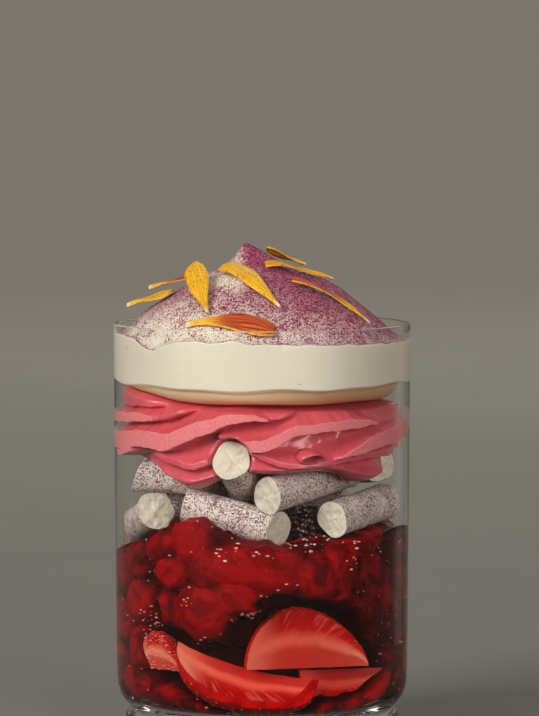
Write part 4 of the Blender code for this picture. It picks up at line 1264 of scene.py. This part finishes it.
def make_petal(name, spec, seed, finish):
    base, tip, width, lift_base, lift_tip, roll, red = spec
    base, tip = np.array(base), np.array(tip)
    run = (tip - base) / np.linalg.norm(tip - base)
    side = np.array([-run[1], run[0]])
    rows, wide = 44, 15
    across = np.linspace(-1.0, 1.0, wide)
    rings, marks = [], {"along": [], "across": [], "red": []}
    for k in range(rows):
        t = 0.012 + 0.976 * k / (rows - 1)
        half = float(petal_half_width(np.float64(t), width))
        notch = 0.45 * max(0.0, (t - 0.93) / 0.07) * (0.5 + 0.5 * np.cos(3.0 * np.pi * across))
        flat = base + t * (tip - base) - np.outer(notch, run) + np.outer(across * half, side)
        z = dome_height(flat[:, 0], flat[:, 1]) + PETAL_GAP
        z = z + lift_base * (1.0 - t) ** 1.4 + lift_tip * t**1.4
        z = z + roll * half * (1.0 + across) + 0.25 * (1.0 - across**2)
        z = z + 0.18 * (1.0 + np.sin(9.0 * t + 2.0 * across))
        z = z + 0.10 * np.cos(3.0 * np.pi * across) * min(1.0, half)
        z = z + 0.05 * np.sin(17.0 * t + seed + 3.0 * across)
        thick = 0.07 + 0.16 * (1.0 - across**2)
        upper = np.column_stack([flat, z + 0.225 + thick])
        lower = np.column_stack([flat, z + 0.225 - thick])
        rings.append(np.vstack([lower, upper[::-1]]))
        marks["along"].append(np.full(2 * wide, t))
        marks["across"].append(np.concatenate([across, across[::-1]]))
        marks["red"].append(np.full(2 * wide, red))
    rings = np.array(rings)
    low, high = rings[0].mean(axis=0), rings[-1].mean(axis=0)
    piece = closed_body("marigold_" + name, rings[:, ::-1], low, high, finish, marks)
    dress(piece, "petal", "petal_" + name)


# Stage, lights and camera


def make_stage(finish):
    """A round floor that sweeps up far away, so that every side has the same backdrop."""
    profile = [(0.05, 0.0), (0.5, 0.0), (1.0, 0.0), (1.5, 0.0), (1.9, 0.02)]
    for turn in np.linspace(5.0, 90.0, 16):
        turn = math.radians(turn)
        profile.append((1.9 + 0.9 * math.sin(turn), 0.02 + 0.9 * (1.0 - math.cos(turn))))
    profile.append((2.82, 2.6))
    a = ring_azimuths(96)
    rows = np.array([on_ring(r, a, z) for r, z in profile])
    points = rows.reshape(-1, 3)
    here = np.arange(len(points)).reshape(len(profile), 96)
    right = np.roll(here, -1, axis=1)
    faces = np.stack([here[:-1], here[1:], right[1:], right[:-1]], -1).reshape(-1, 4).tolist()
    faces.append(here[0].tolist())
    mesh = bpy.data.meshes.new("backdrop")
    mesh.from_pydata(points.tolist(), [], faces)
    backdrop = link("backdrop", mesh, finish, closed=False)


def add_light(name, place_m, target_m, size, power, colour):
    lamp = bpy.data.lights.new(name, "AREA")
    lamp.shape = "RECTANGLE"
    lamp.size, lamp.size_y = size
    lamp.energy = power
    lamp.color = colour
    holder = bpy.data.objects.new(name, lamp)
    bpy.context.scene.collection.objects.link(holder)
    way = Vector(target_m) - Vector(place_m)
    holder.matrix_world = Matrix.Translation(place_m) @ way.to_track_quat("-Z", "Y").to_matrix().to_4x4()
    return holder


def make_lights():
    middle = (0.0, 0.0, 0.075)
    add_light("key", (-1.05, -1.05, 0.80), middle, (0.85, 0.85), 23.0, (1.0, 0.965, 0.91))
    add_light("fill", (0.75, -1.2, 0.40), middle, (0.9, 0.6), 9.0, (1.0, 0.95, 0.89))
    add_light("back_fill", (0.3, 1.5, 1.2), middle, (0.9, 0.9), 4.5, (0.97, 0.98, 1.0))
    strip = add_light("right_strip", (0.17, 0.125, 0.075), middle, (0.05, 0.15), 0.0045, (1.0, 0.9, 0.82))
    strip.visible_camera = False
    world = bpy.data.worlds.new("studio")
    world.use_nodes = True
    shade = world.node_tree.nodes["Background"]
    shade.inputs["Color"].default_value = (0.62, 0.59, 0.54, 1.0)
    shade.inputs["Strength"].default_value = 0.50
    bpy.context.scene.world = world


def make_camera():
    lens = bpy.data.cameras.new("camera")
    lens.sensor_width = SENSOR_MM
    lens.lens = FOCAL_PX * SENSOR_MM / max(IMAGE_SIZE)
    lens.clip_start, lens.clip_end = 0.05, 20.0
    holder = bpy.data.objects.new("camera", lens)
    bpy.context.scene.collection.objects.link(holder)
    holder.location = CAMERA_AT
    holder.rotation_euler = (math.radians(90.0 - CAMERA_DOWN_DEG), 0.0, 0.0)
    bpy.context.scene.camera = holder


def main():
    scene = bpy.context.scene
    scene.view_settings.view_transform = "Standard"
    scene.cycles.use_denoising = True
    scene.cycles.caustics_reflective = False
    scene.cycles.caustics_refractive = False
    make_camera()
    make_lights()
    make_stage(backdrop_material())

    powder = berry_powder_group()
    make_glass(glass_material())
    make_cream(cream_material(powder))
    make_pink(pink_material())
    meringue = meringue_material(powder)
    for seed, (name, spec) in enumerate(STICKS.items()):
        make_stick(name, spec, float(seed), meringue)
    petal = petal_material()
    for seed, (name, spec) in enumerate(PETALS.items()):
        make_petal(name, spec, float(seed), petal)

    flesh = flesh_material()
    seeds = strewing_tree("seeds_on_skin", seed_material(), "small")
    glints = strewing_tree("glints", painted_glint_material(), "small")
    for name in STRAWBERRIES:
        piece = make_strawberry(name, flesh)
        pips = strew(
            "seeds_" + name, piece, seeds, "skin", Spacing=2.3 * MM, Size=0.45 * MM, Uneven=0.2,
            Stretch=(0.6, 1.0, 0.35), Seed=3,
        )
        dress(piece, "strawberry", "strawberry_" + name)
        dress(pips, "strawberry", "strawberry_" + name)
        if name == "crushed_left":
            # Painted highlights: pale specks strewn all over the crushed piece
            wet = strew("wet_glints_" + name, piece, glints, Spacing=0.85 * MM, Size=0.22 * MM,
                        Uneven=0.9, Stretch=(1.5, 0.7, 0.5), Seed=8)
            dress(wet, "strawberry", "strawberry_" + name)

    heap = make_heap(soft_berry_material())
    # Painted highlights: pale specks strewn where the heap's glint mark asks for them
    sparkles = strew(
        "wet_glints", heap, glints, "glint",
        Spacing=0.8 * MM, Size=0.26 * MM, Uneven=0.85, Stretch=(1.5, 0.7, 0.6), Seed=5,
    )
    dress(heap, "strawberry_compote", "strawberry_compote")
    dress(sparkles, "strawberry_compote", "strawberry_compote")
    make_syrup(syrup_material())
    black = bramble_material()
    make_bramble(black, strewing_tree("drupelets", black, "round"))


main()
